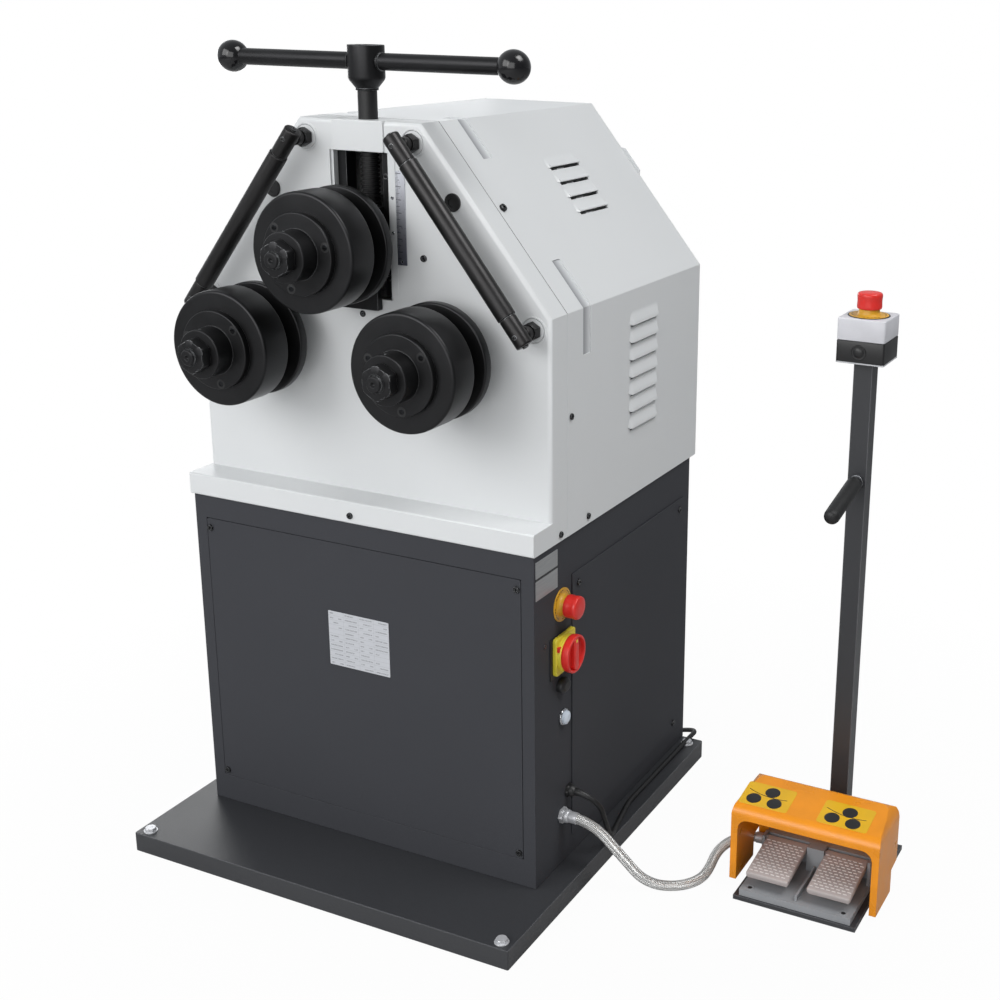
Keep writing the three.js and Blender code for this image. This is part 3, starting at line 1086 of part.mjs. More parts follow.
function leastGap(path, diameter, skip) {
  let least = Infinity;
  for (let i = 0; i < path.length; i += 1) {
    for (let j = i + skip; j < path.length; j += 1) {
      least = Math.min(least, path[i].distanceTo(path[j]) - diameter);
    }
  }
  return least;
}

function cordCoil() {
  const path = coilPath();
  console.log(`least gap of the cord coil to itself: ${leastGap(path, cord.diameter, coil.stepsPerTurn / 2).toFixed(2)} mm`);
  const end = path[path.length - 1];
  const lead = end.clone().sub(path[path.length - 2]).setZ(0).normalize();
  path.push(end.clone().addScaledVector(lead, coil.tail).setZ(plug.diameter / 2));
  path.push(path[path.length - 1].clone().addScaledVector(lead, cord.diameter));
  path.unshift(path[0].clone().add(new THREE.Vector3(0, -seat, 0)));
  return piece('power_cord_coil', sweep(path, cord.diameter / 2, coil.sides), rubber);
}

function coilEnd() {
  const path = coilPath();
  const end = path[path.length - 1];
  const lead = end.clone().sub(path[path.length - 2]).setZ(0).normalize();
  return { point: end.clone().addScaledVector(lead, coil.tail + cord.diameter).setZ(plug.diameter / 2), lead };
}

function powerPlug() {
  const group = new THREE.Group();
  const { point, lead } = coilEnd();
  group.position.copy(point.addScaledVector(lead, seat));
  group.rotation.z = Math.atan2(lead.y, lead.x);
  const neck = plug.neckDiameter / 2;
  const body = plug.diameter / 2;
  const shoulder = plug.neckLength + plug.diameter / 4;
  const bodyEnd = plug.neckLength + plug.length;
  const faceEnd = bodyEnd + plug.faceLength;
  const shell = turnX([
    [0, 0], [cord.diameter / 2 + plug.lip, 0], [neck, plug.neckLength], [body, shoulder], [body, bodyEnd],
    [plug.faceDiameter / 2, bodyEnd], [plug.faceDiameter / 2, faceEnd], [0, faceEnd],
  ], medium);
  const pins = Array.from({ length: 3 }, (_, i) => {
    const angle = 2 * Math.PI * i / 3 + Math.PI / 2;
    return turnX(rod(plugPin.diameter / 2, faceEnd - seat, faceEnd + plugPin.length), coarse)
      .translate([0, plugPin.circle / 2 * Math.cos(angle), plugPin.circle / 2 * Math.sin(angle)]);
  });
  group.add(piece('power_plug', join(shell, ...pins), blackPlastic));
  return group;
}

// The whole part, with its origin on the floor under the middle of everything but the free cords

const machine = new THREE.Group();
machine.add(
  baseTray(), cabinetShell(), frontAccessPanel(), electricsPanel(),
  frontHousing(), headFrame(), rearCover(), headBackPanel(), nutBlockPiece(),
  guideStripPiece('guide_strip_left', -1), guideStripPiece('guide_strip_right', 1),
  carriagePiece(), handleGroup(),
  rollSet('top', 0, topZ, midPlateRear + shaftEnd.topTail),
  rollSet('left', -lowerX, lowerZ, rearPlateRear + shaftEnd.tail),
  rollSet('right', lowerX, lowerZ, rearPlateRear + shaftEnd.tail),
  spurGear('left_gear', -lowerX), spurGear('right_gear', lowerX), drivePinion(),
  gearboxPiece(), motorPiece(),
  guideBarPiece('guide_bar_left', -1), guideBarPiece('guide_bar_right', 1),
  stopCollarPiece(), stopButtonPiece(), switchPlatePiece(), switchKnobPiece(), pilotLampPiece(),
  cableGland(), hoseFittingPiece(),
  stationStand(), stationGrip(), stopBoxBase(), stopBoxLid(), remoteStopButton(),
  pedalBasePiece(), treadlePiece('treadle_left', -1), treadlePiece('treadle_right', 1), pedalGuard(),
  piece('foot_switch_hose', tubeAlong(hoseRoute, hose), braid),
  piece('power_cord_run', tubeAlong(cordRoute, cord), rubber),
  cordCoil(), powerPlug(),
);
const leftEnd = -traySide;
const rightEnd = stationX + guard.width / 2;
machine.position.set(-(leftEnd + rightEnd) / 2, -(shaftFront + cover.depth) / 2, 0);

const part = new THREE.Group();
part.name = 'ring_roller';
part.add(machine);

export default part;
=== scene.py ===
import json
import math

import bmesh
import bpy
from mathutils import Euler, Matrix, Vector


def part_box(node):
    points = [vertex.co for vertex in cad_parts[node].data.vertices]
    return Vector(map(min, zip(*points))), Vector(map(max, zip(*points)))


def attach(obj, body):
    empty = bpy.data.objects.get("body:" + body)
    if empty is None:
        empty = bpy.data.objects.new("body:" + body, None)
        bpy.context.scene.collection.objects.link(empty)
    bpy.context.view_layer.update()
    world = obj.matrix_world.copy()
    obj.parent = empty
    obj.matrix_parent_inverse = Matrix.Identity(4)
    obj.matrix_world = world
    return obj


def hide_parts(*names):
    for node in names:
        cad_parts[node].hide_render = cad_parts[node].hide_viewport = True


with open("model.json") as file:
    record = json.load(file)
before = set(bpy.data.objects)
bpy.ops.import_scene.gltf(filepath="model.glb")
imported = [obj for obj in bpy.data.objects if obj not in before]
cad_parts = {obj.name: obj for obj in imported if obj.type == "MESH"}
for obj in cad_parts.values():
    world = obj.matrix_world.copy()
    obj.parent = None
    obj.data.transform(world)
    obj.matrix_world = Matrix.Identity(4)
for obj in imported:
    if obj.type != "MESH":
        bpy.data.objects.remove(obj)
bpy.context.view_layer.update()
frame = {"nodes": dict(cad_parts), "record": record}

# Ring roller (three-roll section bender) with its foot station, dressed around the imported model.
# Shapes are worked out in millimetres in the machine's own frame: X to the right seen from the
# front, Y to the back, Z up, X 0 on the centre plane, Y 0 on the head's front face, Z 0 the floor.
# They are turned into metres in the row frame when a piece is finished.

MILLIMETRE = 0.001
CABINET_AHEAD = 51.0
CABINET_LOW, CABINET_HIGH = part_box("cabinet_shell")
ORIGIN = Vector((
    (CABINET_LOW.x + CABINET_HIGH.x) / 2,
    CABINET_LOW.y + CABINET_AHEAD * MILLIMETRE,
    0.0,
))
TO_ROW = Matrix.Translation(ORIGIN) @ Matrix.Scale(MILLIMETRE, 4)
FROM_ROW = TO_ROW.inverted()
BODY_OF = {
    node: body
    for body, nodes in frame["record"]["behaviour"]["bodies"].items()
    for node in nodes
}
SIDES = {"left": -1, "right": 1}


def at(x, y, z):
    """A point of the machine's frame, in the row frame."""
    return TO_ROW @ Vector((x, y, z))


def limits(node):
    """Lowest and highest corner of a CAD node, in the machine's frame."""
    low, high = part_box(node)
    return FROM_ROW @ low, FROM_ROW @ high


def depth_of(node):
    """Where a CAD node begins and ends from front to back."""
    low, high = limits(node)
    return low.y, high.y


def middle_of(node):
    low, high = limits(node)
    return (low + high) / 2


# Camera

def set_camera():
    """The camera of the photograph, with its pixels taken from the top left corner."""
    azimuth = math.radians(-25.209)
    elevation = math.radians(-16.447)
    roll = math.radians(0.864)
    place = at(1376.6, -1885.4, 1432.2)
    focal_pixels = 1477.2
    centre_column = 643.2
    centre_row = 436.1
    picture = 1000
    sensor = 36.0
    forward = Vector((
        math.sin(azimuth) * math.cos(elevation),
        math.cos(azimuth) * math.cos(elevation),
        math.sin(elevation),
    ))
    level = forward.cross(Vector((0, 0, 1))).normalized()
    upright = level.cross(forward)
    right = level * math.cos(roll) + upright * math.sin(roll)
    up = upright * math.cos(roll) - level * math.sin(roll)
    data = bpy.data.cameras.new("photo_camera")
    data.sensor_width = sensor
    data.lens = focal_pixels / picture * sensor
    data.shift_x = (picture / 2 - centre_column) / picture
    data.shift_y = (centre_row - picture / 2) / picture
    data.clip_start = 0.05
    data.clip_end = 50
    camera = bpy.data.objects.new("photo_camera", data)
    bpy.context.scene.collection.objects.link(camera)
    turn = Matrix((right, up, -forward)).transposed().to_4x4()
    camera.matrix_world = Matrix.Translation(place) @ turn
    bpy.context.scene.camera = camera


# Finishes

def shade(red, green, blue):
    """A linear colour from an sRGB one in 0 to 255."""
    def linear(value):
        value = value / 255
        return value / 12.92 if value <= 0.04045 else ((value + 0.055) / 1.055) ** 2.4
    return tuple(linear(value) for value in (red, green, blue))


def toned(color, factor, lift=0.0):
    """A colour made lighter or darker."""
    return tuple(min(1.0, value * factor + lift) for value in color)


class Signal:
    """A value in a graph's nodes. Arithmetic on it adds Math nodes."""

    def __init__(self, graph, socket):
        self.graph = graph
        self.socket = socket

    def maths(self, operation, *values):
        return self.graph.maths(operation, *values)

    def __add__(self, other):
        return self.maths("ADD", self, other)

    __radd__ = __add__

    def __sub__(self, other):
        return self.maths("SUBTRACT", self, other)

    def __rsub__(self, other):
        return self.maths("SUBTRACT", other, self)

    def __mul__(self, other):
        return self.maths("MULTIPLY", self, other)

    __rmul__ = __mul__

    def __truediv__(self, other):
        return self.maths("DIVIDE", self, other)

    def __pow__(self, other):
        return self.maths("POWER", self, other)

    def __gt__(self, other):
        return self.maths("GREATER_THAN", self, other)

    def __lt__(self, other):
        return self.maths("LESS_THAN", self, other)

    def __mod__(self, other):
        return self.maths("FLOORED_MODULO", self, other)

    def __abs__(self):
        return self.maths("ABSOLUTE", self)

    def sine(self):
        return self.maths("SINE", self)

    def floor(self):
        return self.maths("FLOOR", self)

    def between(self, low, high):
        """One where the value lies between low and high, with no blend."""
        return (self > low) * (self < high)


class Graph:
    """Nodes of one material or world."""

    def __init__(self, tree):
        self.tree = tree

    def connect(self, socket, value):
        if isinstance(value, Signal):
            value = value.socket
        if isinstance(value, bpy.types.NodeSocket):
            self.tree.links.new(value, socket)
        else:
            socket.default_value = value

    def node(self, kind, settings=None, inputs=None):
        made = self.tree.nodes.new(kind)
        for key, value in (settings or {}).items():
            if key == "stops":
                ramp = made.color_ramp.elements
                while len(ramp) < len(value):
                    ramp.new(1.0)
                for stop, (place, color) in zip(ramp, value):
                    stop.position = place
                    stop.color = (*color, 1.0)
            else:
                setattr(made, key, value)
        for key, value in (inputs or {}).items():
            self.connect(made.inputs[key], value)
        return made

    def maths(self, operation, *values):
        made = self.node("ShaderNodeMath", {"operation": operation}, dict(enumerate(values)))
        return Signal(self, made.outputs[0])

    def axes(self, origin=(0, 0, 0), scale=(1, 1, 1)):
        """Object coordinates from an origin, scaled, as a vector and its three values."""
        place = self.node("ShaderNodeTexCoord").outputs["Object"]
        if (origin, scale) != ((0, 0, 0), (1, 1, 1)):
            shift = [-value for value in origin]
            place = self.node("ShaderNodeVectorMath", {"operation": "ADD"}, {
                0: place, 1: shift}).outputs[0]
            place = self.node("ShaderNodeMapping", {}, {
                "Vector": place, "Scale": scale}).outputs[0]
        parts = self.node("ShaderNodeSeparateXYZ", {}, {0: place})
        return place, [Signal(self, parts.outputs[i]) for i in range(3)]

    def noise(self, scale, detail, vector=None, roughness=0.5):
        vector = vector or self.axes()[0]
        made = self.node("ShaderNodeTexNoise", {}, {
            "Vector": vector, "Scale": scale, "Detail": detail, "Roughness": roughness})
        return Signal(self, made.outputs["Fac"])

    def mix(self, amount, first, second):
        """A colour between two, by a value."""
        def colored(value):
            return (*value, 1.0) if isinstance(value, tuple) and len(value) == 3 else value
        made = self.node("ShaderNodeMix", {"data_type": "RGBA"})
        self.connect(made.inputs["Factor"], amount)
        self.connect(made.inputs[6], colored(first))
        self.connect(made.inputs[7], colored(second))
        return made.outputs[2]

    def span(self, value, low, high, to_low=0.0, to_high=1.0):
        """A value's share of the way from low to high, kept within the two ends."""
        made = self.node("ShaderNodeMapRange", {"clamp": True}, {
            "Value": value, "From Min": low, "From Max": high, "To Min": to_low, "To Max": to_high})
        return Signal(self, made.outputs[0])


class Coating(Graph):
    """One finish: a Principled shader and the nodes that vary it over the surface."""

    def __init__(self, name, color, roughness, metallic=0.0, **constants):
        self.material = bpy.data.materials.new(name)
        self.material.use_nodes = True
        super().__init__(self.material.node_tree)
        self.shader = self.tree.nodes["Principled BSDF"]
        self.color = (*color, 1.0)
        self.feed("Base Color", self.color)
        self.feed("Roughness", roughness)
        self.feed("Metallic", metallic)
        for socket, value in constants.items():
            self.feed(socket.replace("_", " "), value)

    def feed(self, name, value):
        self.connect(self.shader.inputs[name], value)

    def tint(self, amount, first, second):
        self.feed("Base Color", self.mix(amount, first, second))

    def gloss(self, value, low, high, to_low, to_high):
        """Roughness that follows a value."""
        self.feed("Roughness", self.span(value, low, high, to_low, to_high))

    def bump(self, height, distance, strength):
        made = self.node("ShaderNodeBump", {}, {
            "Height": height, "Distance": distance, "Strength": strength})
        self.feed("Normal", made.outputs[0])

    def edge_wear_and_highlight(self, radius, color, amount):
        """The finish's colour with another along its edges, found by the bevelled normal: rub wear on
        the tray's edges, a painted highlight on blackened steel.
        """
        bevel = self.node("ShaderNodeBevel", {"samples": 4}, {"Radius": radius})
        plain = self.node("ShaderNodeNewGeometry").outputs["Normal"]
        dot = self.node("ShaderNodeVectorMath", {"operation": "DOT_PRODUCT"}, {
            0: bevel.outputs[0], 1: plain})
        away = 1 - Signal(self, dot.outputs["Value"])
        scratch = self.noise(90.0, 4.0)
        wear_and_highlight = self.span(away * amount + (scratch - 0.5) * 0.12, 0.04, 0.2)
        return self.mix(wear_and_highlight, self.color, color)


def smooth_enamel(name, color):
    """Sprayed enamel: faint orange peel, and slight changes in tone and gloss."""
    roughness = 0.38
    coating = Coating(name, color, roughness)
    cloud = coating.noise(3.5, 3.0)
    fine = coating.noise(420.0, 2.0)
    coating.tint(cloud * 0.8 + fine * 0.2, toned(color, 0.94), color)
    coating.feed("Roughness", roughness - 0.06 + cloud * 0.12)
    coating.bump(coating.noise(260.0, 2.0), 0.00012, 0.35)
    return coating


def textured_enamel(name, color, roughness, grain=900.0, depth=0.00025, wear_and_highlight=None, **constants):
    """Powder coat with a fine grain, dusty here and there, and rubbed along its edges."""
    coating = Coating(name, color, roughness, **constants)
    coat = coating.edge_wear_and_highlight(0.003, wear_and_highlight, 1.2) if wear_and_highlight else color
    grit = coating.noise(grain, 3.0, roughness=0.6)
    cloud = coating.noise(2.6, 4.0)
    tone = coating.mix(coating.span(grit, 0.35, 0.68), toned(color, 0.8), toned(color, 1.5, 0.008))
    coating.tint(coating.span(cloud, 0.35, 0.75) * 0.35, coat, tone)
    coating.feed("Roughness", roughness - 0.08 + cloud * 0.16)
    coating.bump(grit, depth, 0.5)
    return coating


def blackened(name, centre=(0, 0, 0), axis="Y", rings=2600.0, dark=shade(42, 42, 43)):
    """Blackened turned steel: concentric tool marks round an axis, with a painted highlight along the
    edges.
    """
    coating = Coating(name, dark, 0.36, 0.82)
    _, (x, y, z) = coating.axes(tuple(centre))
    along, first, second = {"X": (x, y, z), "Y": (y, x, z), "Z": (z, x, y)}[axis]
    reach = (first * first + second * second) ** 0.5
    wobble = coating.noise(30.0, 3.0)
    marks = (reach * rings + along * rings * 0.6 + wobble * 4).sine()
    cloud = coating.noise(14.0, 4.0)
    # The edges are painted light grey: a painted highlight along the rims.
    wear_and_highlight = coating.edge_wear_and_highlight(0.0014, shade(158, 160, 162), 1.4)
    coating.tint(coating.span(cloud, 0.3, 0.8) * 0.35, wear_and_highlight, shade(58, 58, 60))
    coating.gloss(cloud + marks * 0.05, 0.25, 0.8, 0.3, 0.46)
    coating.bump(marks, 0.00003, 0.25)
    return coating


def moulded(name, color, roughness):
    """Moulded plastic: very fine grain, gloss that varies with handling."""
    coating = Coating(name, color, roughness, Coat_Roughness=0.2)
    cloud = coating.noise(18.0, 3.0)
    coating.tint(coating.span(cloud, 0.3, 0.7), toned(color, 0.86), color)
    coating.gloss(cloud, 0.25, 0.75, roughness - 0.06, roughness + 0.08)
    coating.bump(coating.noise(1500.0, 1.0), 0.00004, 0.4)
    return coating


def cast_metal(name, color, roughness=0.5, metallic=0.0):
    """Painted casting with a lightly pitted skin."""
    coating = Coating(name, color, roughness, metallic)
    pits = coating.noise(380.0, 4.0, roughness=0.65)
    cloud = coating.noise(7.0, 4.0)
    coating.tint(coating.span(cloud, 0.3, 0.75), color, toned(color, 1.25))
    coating.gloss(pits, 0.3, 0.7, roughness + 0.08, roughness - 0.08)
    coating.bump(pits, 0.00035, 0.45)
    return coating


def bright_metal(name, color, roughness):
    """Plated or machined metal with fine scratches."""
    coating = Coating(name, color, roughness, 1.0)
    vector, _ = coating.axes(scale=(40, 700, 700))
    scratch = coating.noise(1.0, 4.0, vector)
    coating.gloss(scratch, 0.3, 0.75, roughness - 0.08, roughness + 0.14)
    coating.tint(coating.span(scratch, 0.35, 0.7), toned(color, 0.72), color)
    coating.bump(scratch, 0.00003, 0.3)
    return coating


def braided(name):
    """Steel braid on a sleeve's own UV: u runs along in metres, v once round."""
    strands = 9
    pitch = 0.03
    turn = 2 * math.pi
    coating = Coating(name, shade(206, 206, 206), 0.28, 0.8)
    lines = coating.node("ShaderNodeUVMap", {"uv_map": "along"}).outputs[0]
    parts = coating.node("ShaderNodeSeparateXYZ", {}, {0: lines})
    along = Signal(coating, parts.outputs[0]) / pitch
    around = Signal(coating, parts.outputs[1])
    one_way = (along + around) * strands
    other_way = (along - around) * strands
    over = (one_way.floor() + other_way.floor()) % 2
    weave = over * abs((one_way * turn).sine()) + (1 - over) * abs((other_way * turn).sine())
    wires = abs((around * strands * turn).sine())
    bright = weave * 0.45 + wires * 0.55
    coating.tint(coating.span(bright, 0.25, 0.62), shade(58, 58, 60), shade(250, 250, 248))
    coating.gloss(weave, 0, 1, 0.46, 0.26)
    coating.bump(weave, 0.00085, 0.8)
    return coating


def cord_jacket(name):
    """Black rubber jacket, faintly dusty."""
    coating = Coating(name, shade(18, 18, 19), 0.5)
    dust = coating.noise(60.0, 4.0)
    coating.tint(coating.span(dust, 0.5, 0.85) * 0.4, shade(17, 17, 18), shade(44, 44, 45))
    coating.gloss(dust, 0.3, 0.7, 0.48, 0.66)
    coating.bump(coating.noise(900.0, 2.0), 0.00008, 0.4)
    return coating


FINISH = {
    "head": smooth_enamel("head_enamel", shade(216, 218, 219)),
    "cabinet": textured_enamel("cabinet_enamel", shade(62, 63, 67), 0.62, Specular_IOR_Level=0.1),
    "tray": textured_enamel("tray_enamel", shade(50, 51, 54), 0.42, 620.0, 0.0004, shade(104, 105, 108)),
    "steel": blackened("blackened_steel"),
    "machined": bright_metal("machined_steel", shade(150, 152, 156), 0.32),
    "plated": bright_metal("bright_plating", shade(200, 202, 206), 0.2),
    "casting": cast_metal("grey_casting", shade(132, 134, 137)),
    "treadle": cast_metal("treadle_alloy", shade(160, 152, 150), 0.48),
    "braid": braided("steel_braid"),
    "black": moulded("black_plastic", shade(28, 28, 29), 0.42),
    "white": moulded("white_plastic", shade(210, 210, 215), 0.34),
    "yellow": moulded("yellow_plastic", shade(220, 204, 56), 0.38),
    "red": moulded("red_plastic", shade(220, 46, 40), 0.32),
    "orange": moulded("orange_plastic", shade(236, 146, 14), 0.3),
    "lens": moulded("lamp_lens", shade(214, 224, 236), 0.12),
    "rubber": cord_jacket("cord_rubber"),
}
GREASED = cast_metal("greased_screw", shade(17, 17, 18), 0.5)
SCREW_STEEL = bright_metal("screw_steel", shade(52, 53, 55), 0.3)
ZINC = cast_metal("zinc_plate", shade(186, 187, 190), 0.36, 0.45)
STOP_YELLOW = moulded("stop_yellow", shade(214, 162, 40), 0.4)
TREAD_BAR = cast_metal("tread_bar", shade(196, 192, 190), 0.42)
SLOT = {
    "head": "head_paint", "cabinet": "cabinet_paint", "tray": "tray_paint", "steel": "black_steel",
    "machined": "machined_steel", "plated": "bright_plating", "casting": "casting",
    "treadle": "treadle_alloy", "braid": "steel_braid", "black": "black_plastic",
    "white": "white_plastic", "yellow": "yellow_plastic", "red": "red_plastic",
    "orange": "orange_plastic", "lens": "lamp_lens", "rubber": "cord_rubber",
}


# Making pieces

WELD = 0.001
CAD_WELD = 0.01
AXIS_TURN = {
    "Z": Matrix.Identity(4),
    "Y": Matrix(((1, 0, 0, 0), (0, 0, 1, 0), (0, -1, 0, 0), (0, 0, 0, 1))),
    "X": Matrix(((0, 0, 1, 0), (0, 1, 0, 0), (-1, 0, 0, 0), (0, 0, 0, 1))),
}
AXIS_SWAP = {
    "Z": Matrix.Identity(4),
    "Y": Matrix(((1, 0, 0, 0), (0, 0, 1, 0), (0, 1, 0, 0), (0, 0, 0, 1))),
    "X": Matrix(((0, 0, 1, 0), (1, 0, 0, 0), (0, 1, 0, 0), (0, 0, 0, 1))),
}


def eased(share):
    """A share from 0 to 1 that sets off and arrives gently."""
    return share * share * (3 - 2 * share)


def finished(bm, name, finish, body="machine", replaces=(), coating=None, sharp=35.0):
    """Turns a mesh in millimetres into a piece that rides on its body. A coating given here takes
    the place of the finish's own. Edges stay hard from the angle called sharp."""
    bmesh.ops.transform(bm, matrix=TO_ROW, verts=bm.verts)
    for face in bm.faces:
        face.smooth = True
    corner = math.radians(sharp)
    for edge in bm.edges:
        edge.smooth = len(edge.link_faces) == 2 and edge.calc_face_angle(0) < corner
    mesh = bpy.data.meshes.new(name)
    bm.to_mesh(mesh)
    bm.free()
    piece = bpy.data.objects.new(name, mesh)
    bpy.context.scene.collection.objects.link(piece)
    mesh.materials.append((coating or FINISH[finish]).material)
    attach(piece, body)
    if replaces:
        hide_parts(*replaces)
    return piece


def outward(bm):
    """Welds a mesh whose seams meet, and turns its faces outwards."""
    bmesh.ops.remove_doubles(bm, verts=bm.verts, dist=WELD)
    bmesh.ops.recalc_face_normals(bm, faces=bm.faces)
    return bm


def joined(*parts):
    """Several meshes as one, the separate ones emptied."""
    whole = parts[0]
    for part in parts[1:]:
        spare = bpy.data.meshes.new("spare")
        part.to_mesh(spare)
        part.free()
        whole.from_mesh(spare)
        bpy.data.meshes.remove(spare)
    return whole


def moved(bm, x=0.0, y=0.0, z=0.0):
    bmesh.ops.translate(bm, vec=(x, y, z), verts=bm.verts)
    return bm


def turned_by(bm, x=0.0, y=0.0, z=0.0, centre=(0, 0, 0)):
    turn = Euler((math.radians(x), math.radians(y), math.radians(z))).to_matrix()
    bmesh.ops.rotate(bm, cent=centre, matrix=turn, verts=bm.verts)
    return bm


def mirrored(bm, side):
    """A piece made for the right side, turned over for the left, where side is -1."""
    if side < 0:
        bmesh.ops.scale(bm, vec=(-1, 1, 1), verts=bm.verts)
        bmesh.ops.reverse_faces(bm, faces=bm.faces)
    return bm


def rounded_corners(points, closed):
    """A line whose corners with a third value are rounded off that far from the corner."""
    steps = 4
    line = []
    count = len(points)
    for i, point in enumerate(points):
        here = Vector(point[:2])
        edge = point[2] if len(point) > 2 else 0
        inner = closed or 0 < i < count - 1
        if not edge or not inner:
            line.append(here)
            continue
        before = Vector(points[i - 1][:2]) - here
        after = Vector(points[(i + 1) % count][:2]) - here
        start = here + before.normalized() * min(edge, before.length * 0.49)
        end = here + after.normalized() * min(edge, after.length * 0.49)
        for step in range(steps + 1):
            t = step / steps
            line.append(start * (1 - t) ** 2 + here * 2 * t * (1 - t) + end * t ** 2)
    return line


def turned(profile, axis, steps, ring=False):
    """A turned piece from radius and place along its axis. A third value rounds that corner."""
    bm = bmesh.new()
    line = rounded_corners(profile, ring)
    verts = [bm.verts.new((point.x, 0, point.y)) for point in line]
    edges = [bm.edges.new(pair) for pair in zip(verts, verts[1:])]
    if ring:
        edges.append(bm.edges.new((verts[-1], verts[0])))
    bmesh.ops.spin(
        bm, geom=verts + edges, cent=(0, 0, 0), axis=(0, 0, 1), angle=2 * math.pi,
        steps=steps, use_merge=True, use_duplicate=False)
    outward(bm)
    bmesh.ops.transform(bm, matrix=AXIS_TURN[axis], verts=bm.verts)
    return bm


def rounded_edges(bm, edges, offset, segments, clamp=False):
    bmesh.ops.bevel(
        bm, geom=edges, offset=offset, segments=segments, profile=0.5, affect="EDGES",
        clamp_overlap=clamp, material=-1)


def brick(low, high, edge, segments=2):
    """A block with every edge rounded."""
    bm = bmesh.new()
    bmesh.ops.create_cube(bm, size=1)
    low = Vector(low)
    high = Vector(high)
    bmesh.ops.scale(bm, vec=high - low, verts=bm.verts)
    bmesh.ops.translate(bm, vec=(low + high) / 2, verts=bm.verts)
    if edge:
        rounded_edges(bm, bm.edges[:], edge, segments)
    return bm


def slab(points, axis, low, high, edge, segments=2):
    """An outline, its corners rounded where a third value says so, extruded along an axis."""
    bm = bmesh.new()
    line = rounded_corners(points, True)
    face = bm.faces.new([bm.verts.new((p.x, p.y, 0)) for p in line])
    grown = bmesh.ops.extrude_face_region(bm, geom=[face])
    top = [item for item in grown["geom"] if isinstance(item, bmesh.types.BMVert)]
    bmesh.ops.translate(bm, vec=(0, 0, high - low), verts=top)
    bmesh.ops.recalc_face_normals(bm, faces=bm.faces)
    if edge:
        level = 1e-6
        rim = [e for e in bm.edges if abs(e.verts[0].co.z - e.verts[1].co.z) < level]
        rounded_edges(bm, rim, edge, segments)
    bmesh.ops.translate(bm, vec=(0, 0, low), verts=bm.verts)
    bmesh.ops.transform(bm, matrix=AXIS_SWAP[axis], verts=bm.verts)
    bmesh.ops.recalc_face_normals(bm, faces=bm.faces)
    return bm


def box_outline(width, height, corner):
    half_width = width / 2
    half_height = height / 2
    return [
        (half_width, half_height, corner), (-half_width, half_height, corner),
        (-half_width, -half_height, corner), (half_width, -half_height, corner),
    ]


def hexagon_reach(angle, flats):
    """Distance from a hexagon's centre to its outline."""
    sector = math.pi / 3
    return flats / 2 / math.cos((angle + sector / 2) % sector - sector / 2)


def stacked(rings, axis, sides=48):
    """Rings along an axis, skinned in order: (place, radius), (place, flats, "hex"), or the
    last with a radius that cuts its corners off."""
    bm = bmesh.new()

    def shape(verts, ring):
        for i, vert in enumerate(verts):
            angle = 2 * math.pi * i / sides
            reach = hexagon_reach(angle, ring[1]) if len(ring) > 2 else ring[1]
            if len(ring) > 3:
                reach = min(reach, ring[3])
            vert.co = (reach * math.cos(angle), reach * math.sin(angle), ring[0])

    made = bmesh.ops.create_circle(bm, cap_ends=True, radius=1, segments=sides)
    verts = made["verts"]
    shape(verts, rings[0])
    loop = [edge for edge in bm.edges if len(edge.verts) == 2]
    for ring in rings[1:]:
        grown = bmesh.ops.extrude_edge_only(bm, edges=loop)["geom"]
        loop = [item for item in grown if isinstance(item, bmesh.types.BMEdge)
                and all(v in grown for v in item.verts)]
        following = [item for item in grown if isinstance(item, bmesh.types.BMVert)]
        by_old = {}
        for vert in following:
            for edge in vert.link_edges:
                other = edge.other_vert(vert)
                if other in verts:
                    by_old[other] = vert
        verts = [by_old[vert] for vert in verts]
        shape(verts, ring)
    bmesh.ops.holes_fill(bm, edges=loop, sides=sides)
    outward(bm)
    bmesh.ops.transform(bm, matrix=AXIS_TURN[axis], verts=bm.verts)
    return bm


def dressed(node, name, finish, edge=1.0, segments=2, angle=45.0, picks=None, sharp=35.0, shape=None):
    """A copy of a CAD node with its loose triangles merged, its hard edges rounded and its broad
    flat faces kept flat beside them."""
    bm = bmesh.new()
    bm.from_mesh(frame["nodes"][node].data)
    bmesh.ops.transform(bm, matrix=FROM_ROW, verts=bm.verts)
    bmesh.ops.remove_doubles(bm, verts=bm.verts, dist=CAD_WELD)
    if shape:
        shape(bm)
    bmesh.ops.dissolve_limit(
        bm, angle_limit=math.radians(0.5), use_dissolve_boundaries=False,
        verts=bm.verts, edges=bm.edges)
    hard = math.radians(angle)
    chosen = [
        e for e in bm.edges
        if len(e.link_faces) == 2 and e.calc_face_angle(0) > hard and (picks is None or picks(e))
    ]
    if chosen:
        rounded_edges(bm, chosen, edge, segments, clamp=True)
    piece = finished(bm, name, finish, BODY_OF[node], [node], sharp=sharp)
    modifier = piece.modifiers.new("even_normals", "WEIGHTED_NORMAL")
    modifier.keep_sharp = True
    modifier.weight = 90


def smooth_path(points, spacing=4.0):
    """Points along a centripetal Catmull-Rom curve through the given ones."""
    points = [Vector(p) for p in points]
    ends = [2 * points[0] - points[1], *points, 2 * points[-1] - points[-2]]
    path = [points[0]]
    for a, b, c, d in zip(ends, ends[1:], ends[2:], ends[3:]):
        ta = 0.0
        tb = ta + (b - a).length ** 0.5
        tc = tb + (c - b).length ** 0.5
        td = tc + (d - c).length ** 0.5
        steps = max(2, math.ceil((c - b).length / spacing))
        for step in range(1, steps + 1):
            t = tb + (tc - tb) * step / steps
            ab = a.lerp(b, (t - ta) / (tb - ta))
            bc = b.lerp(c, (t - tb) / (tc - tb))
            cd = c.lerp(d, (t - tc) / (td - tc))
            left = ab.lerp(bc, (t - ta) / (tc - ta))
            right = bc.lerp(cd, (t - tb) / (td - tb))
            path.append(left.lerp(right, (t - tb) / (tc - tb)))
    return path


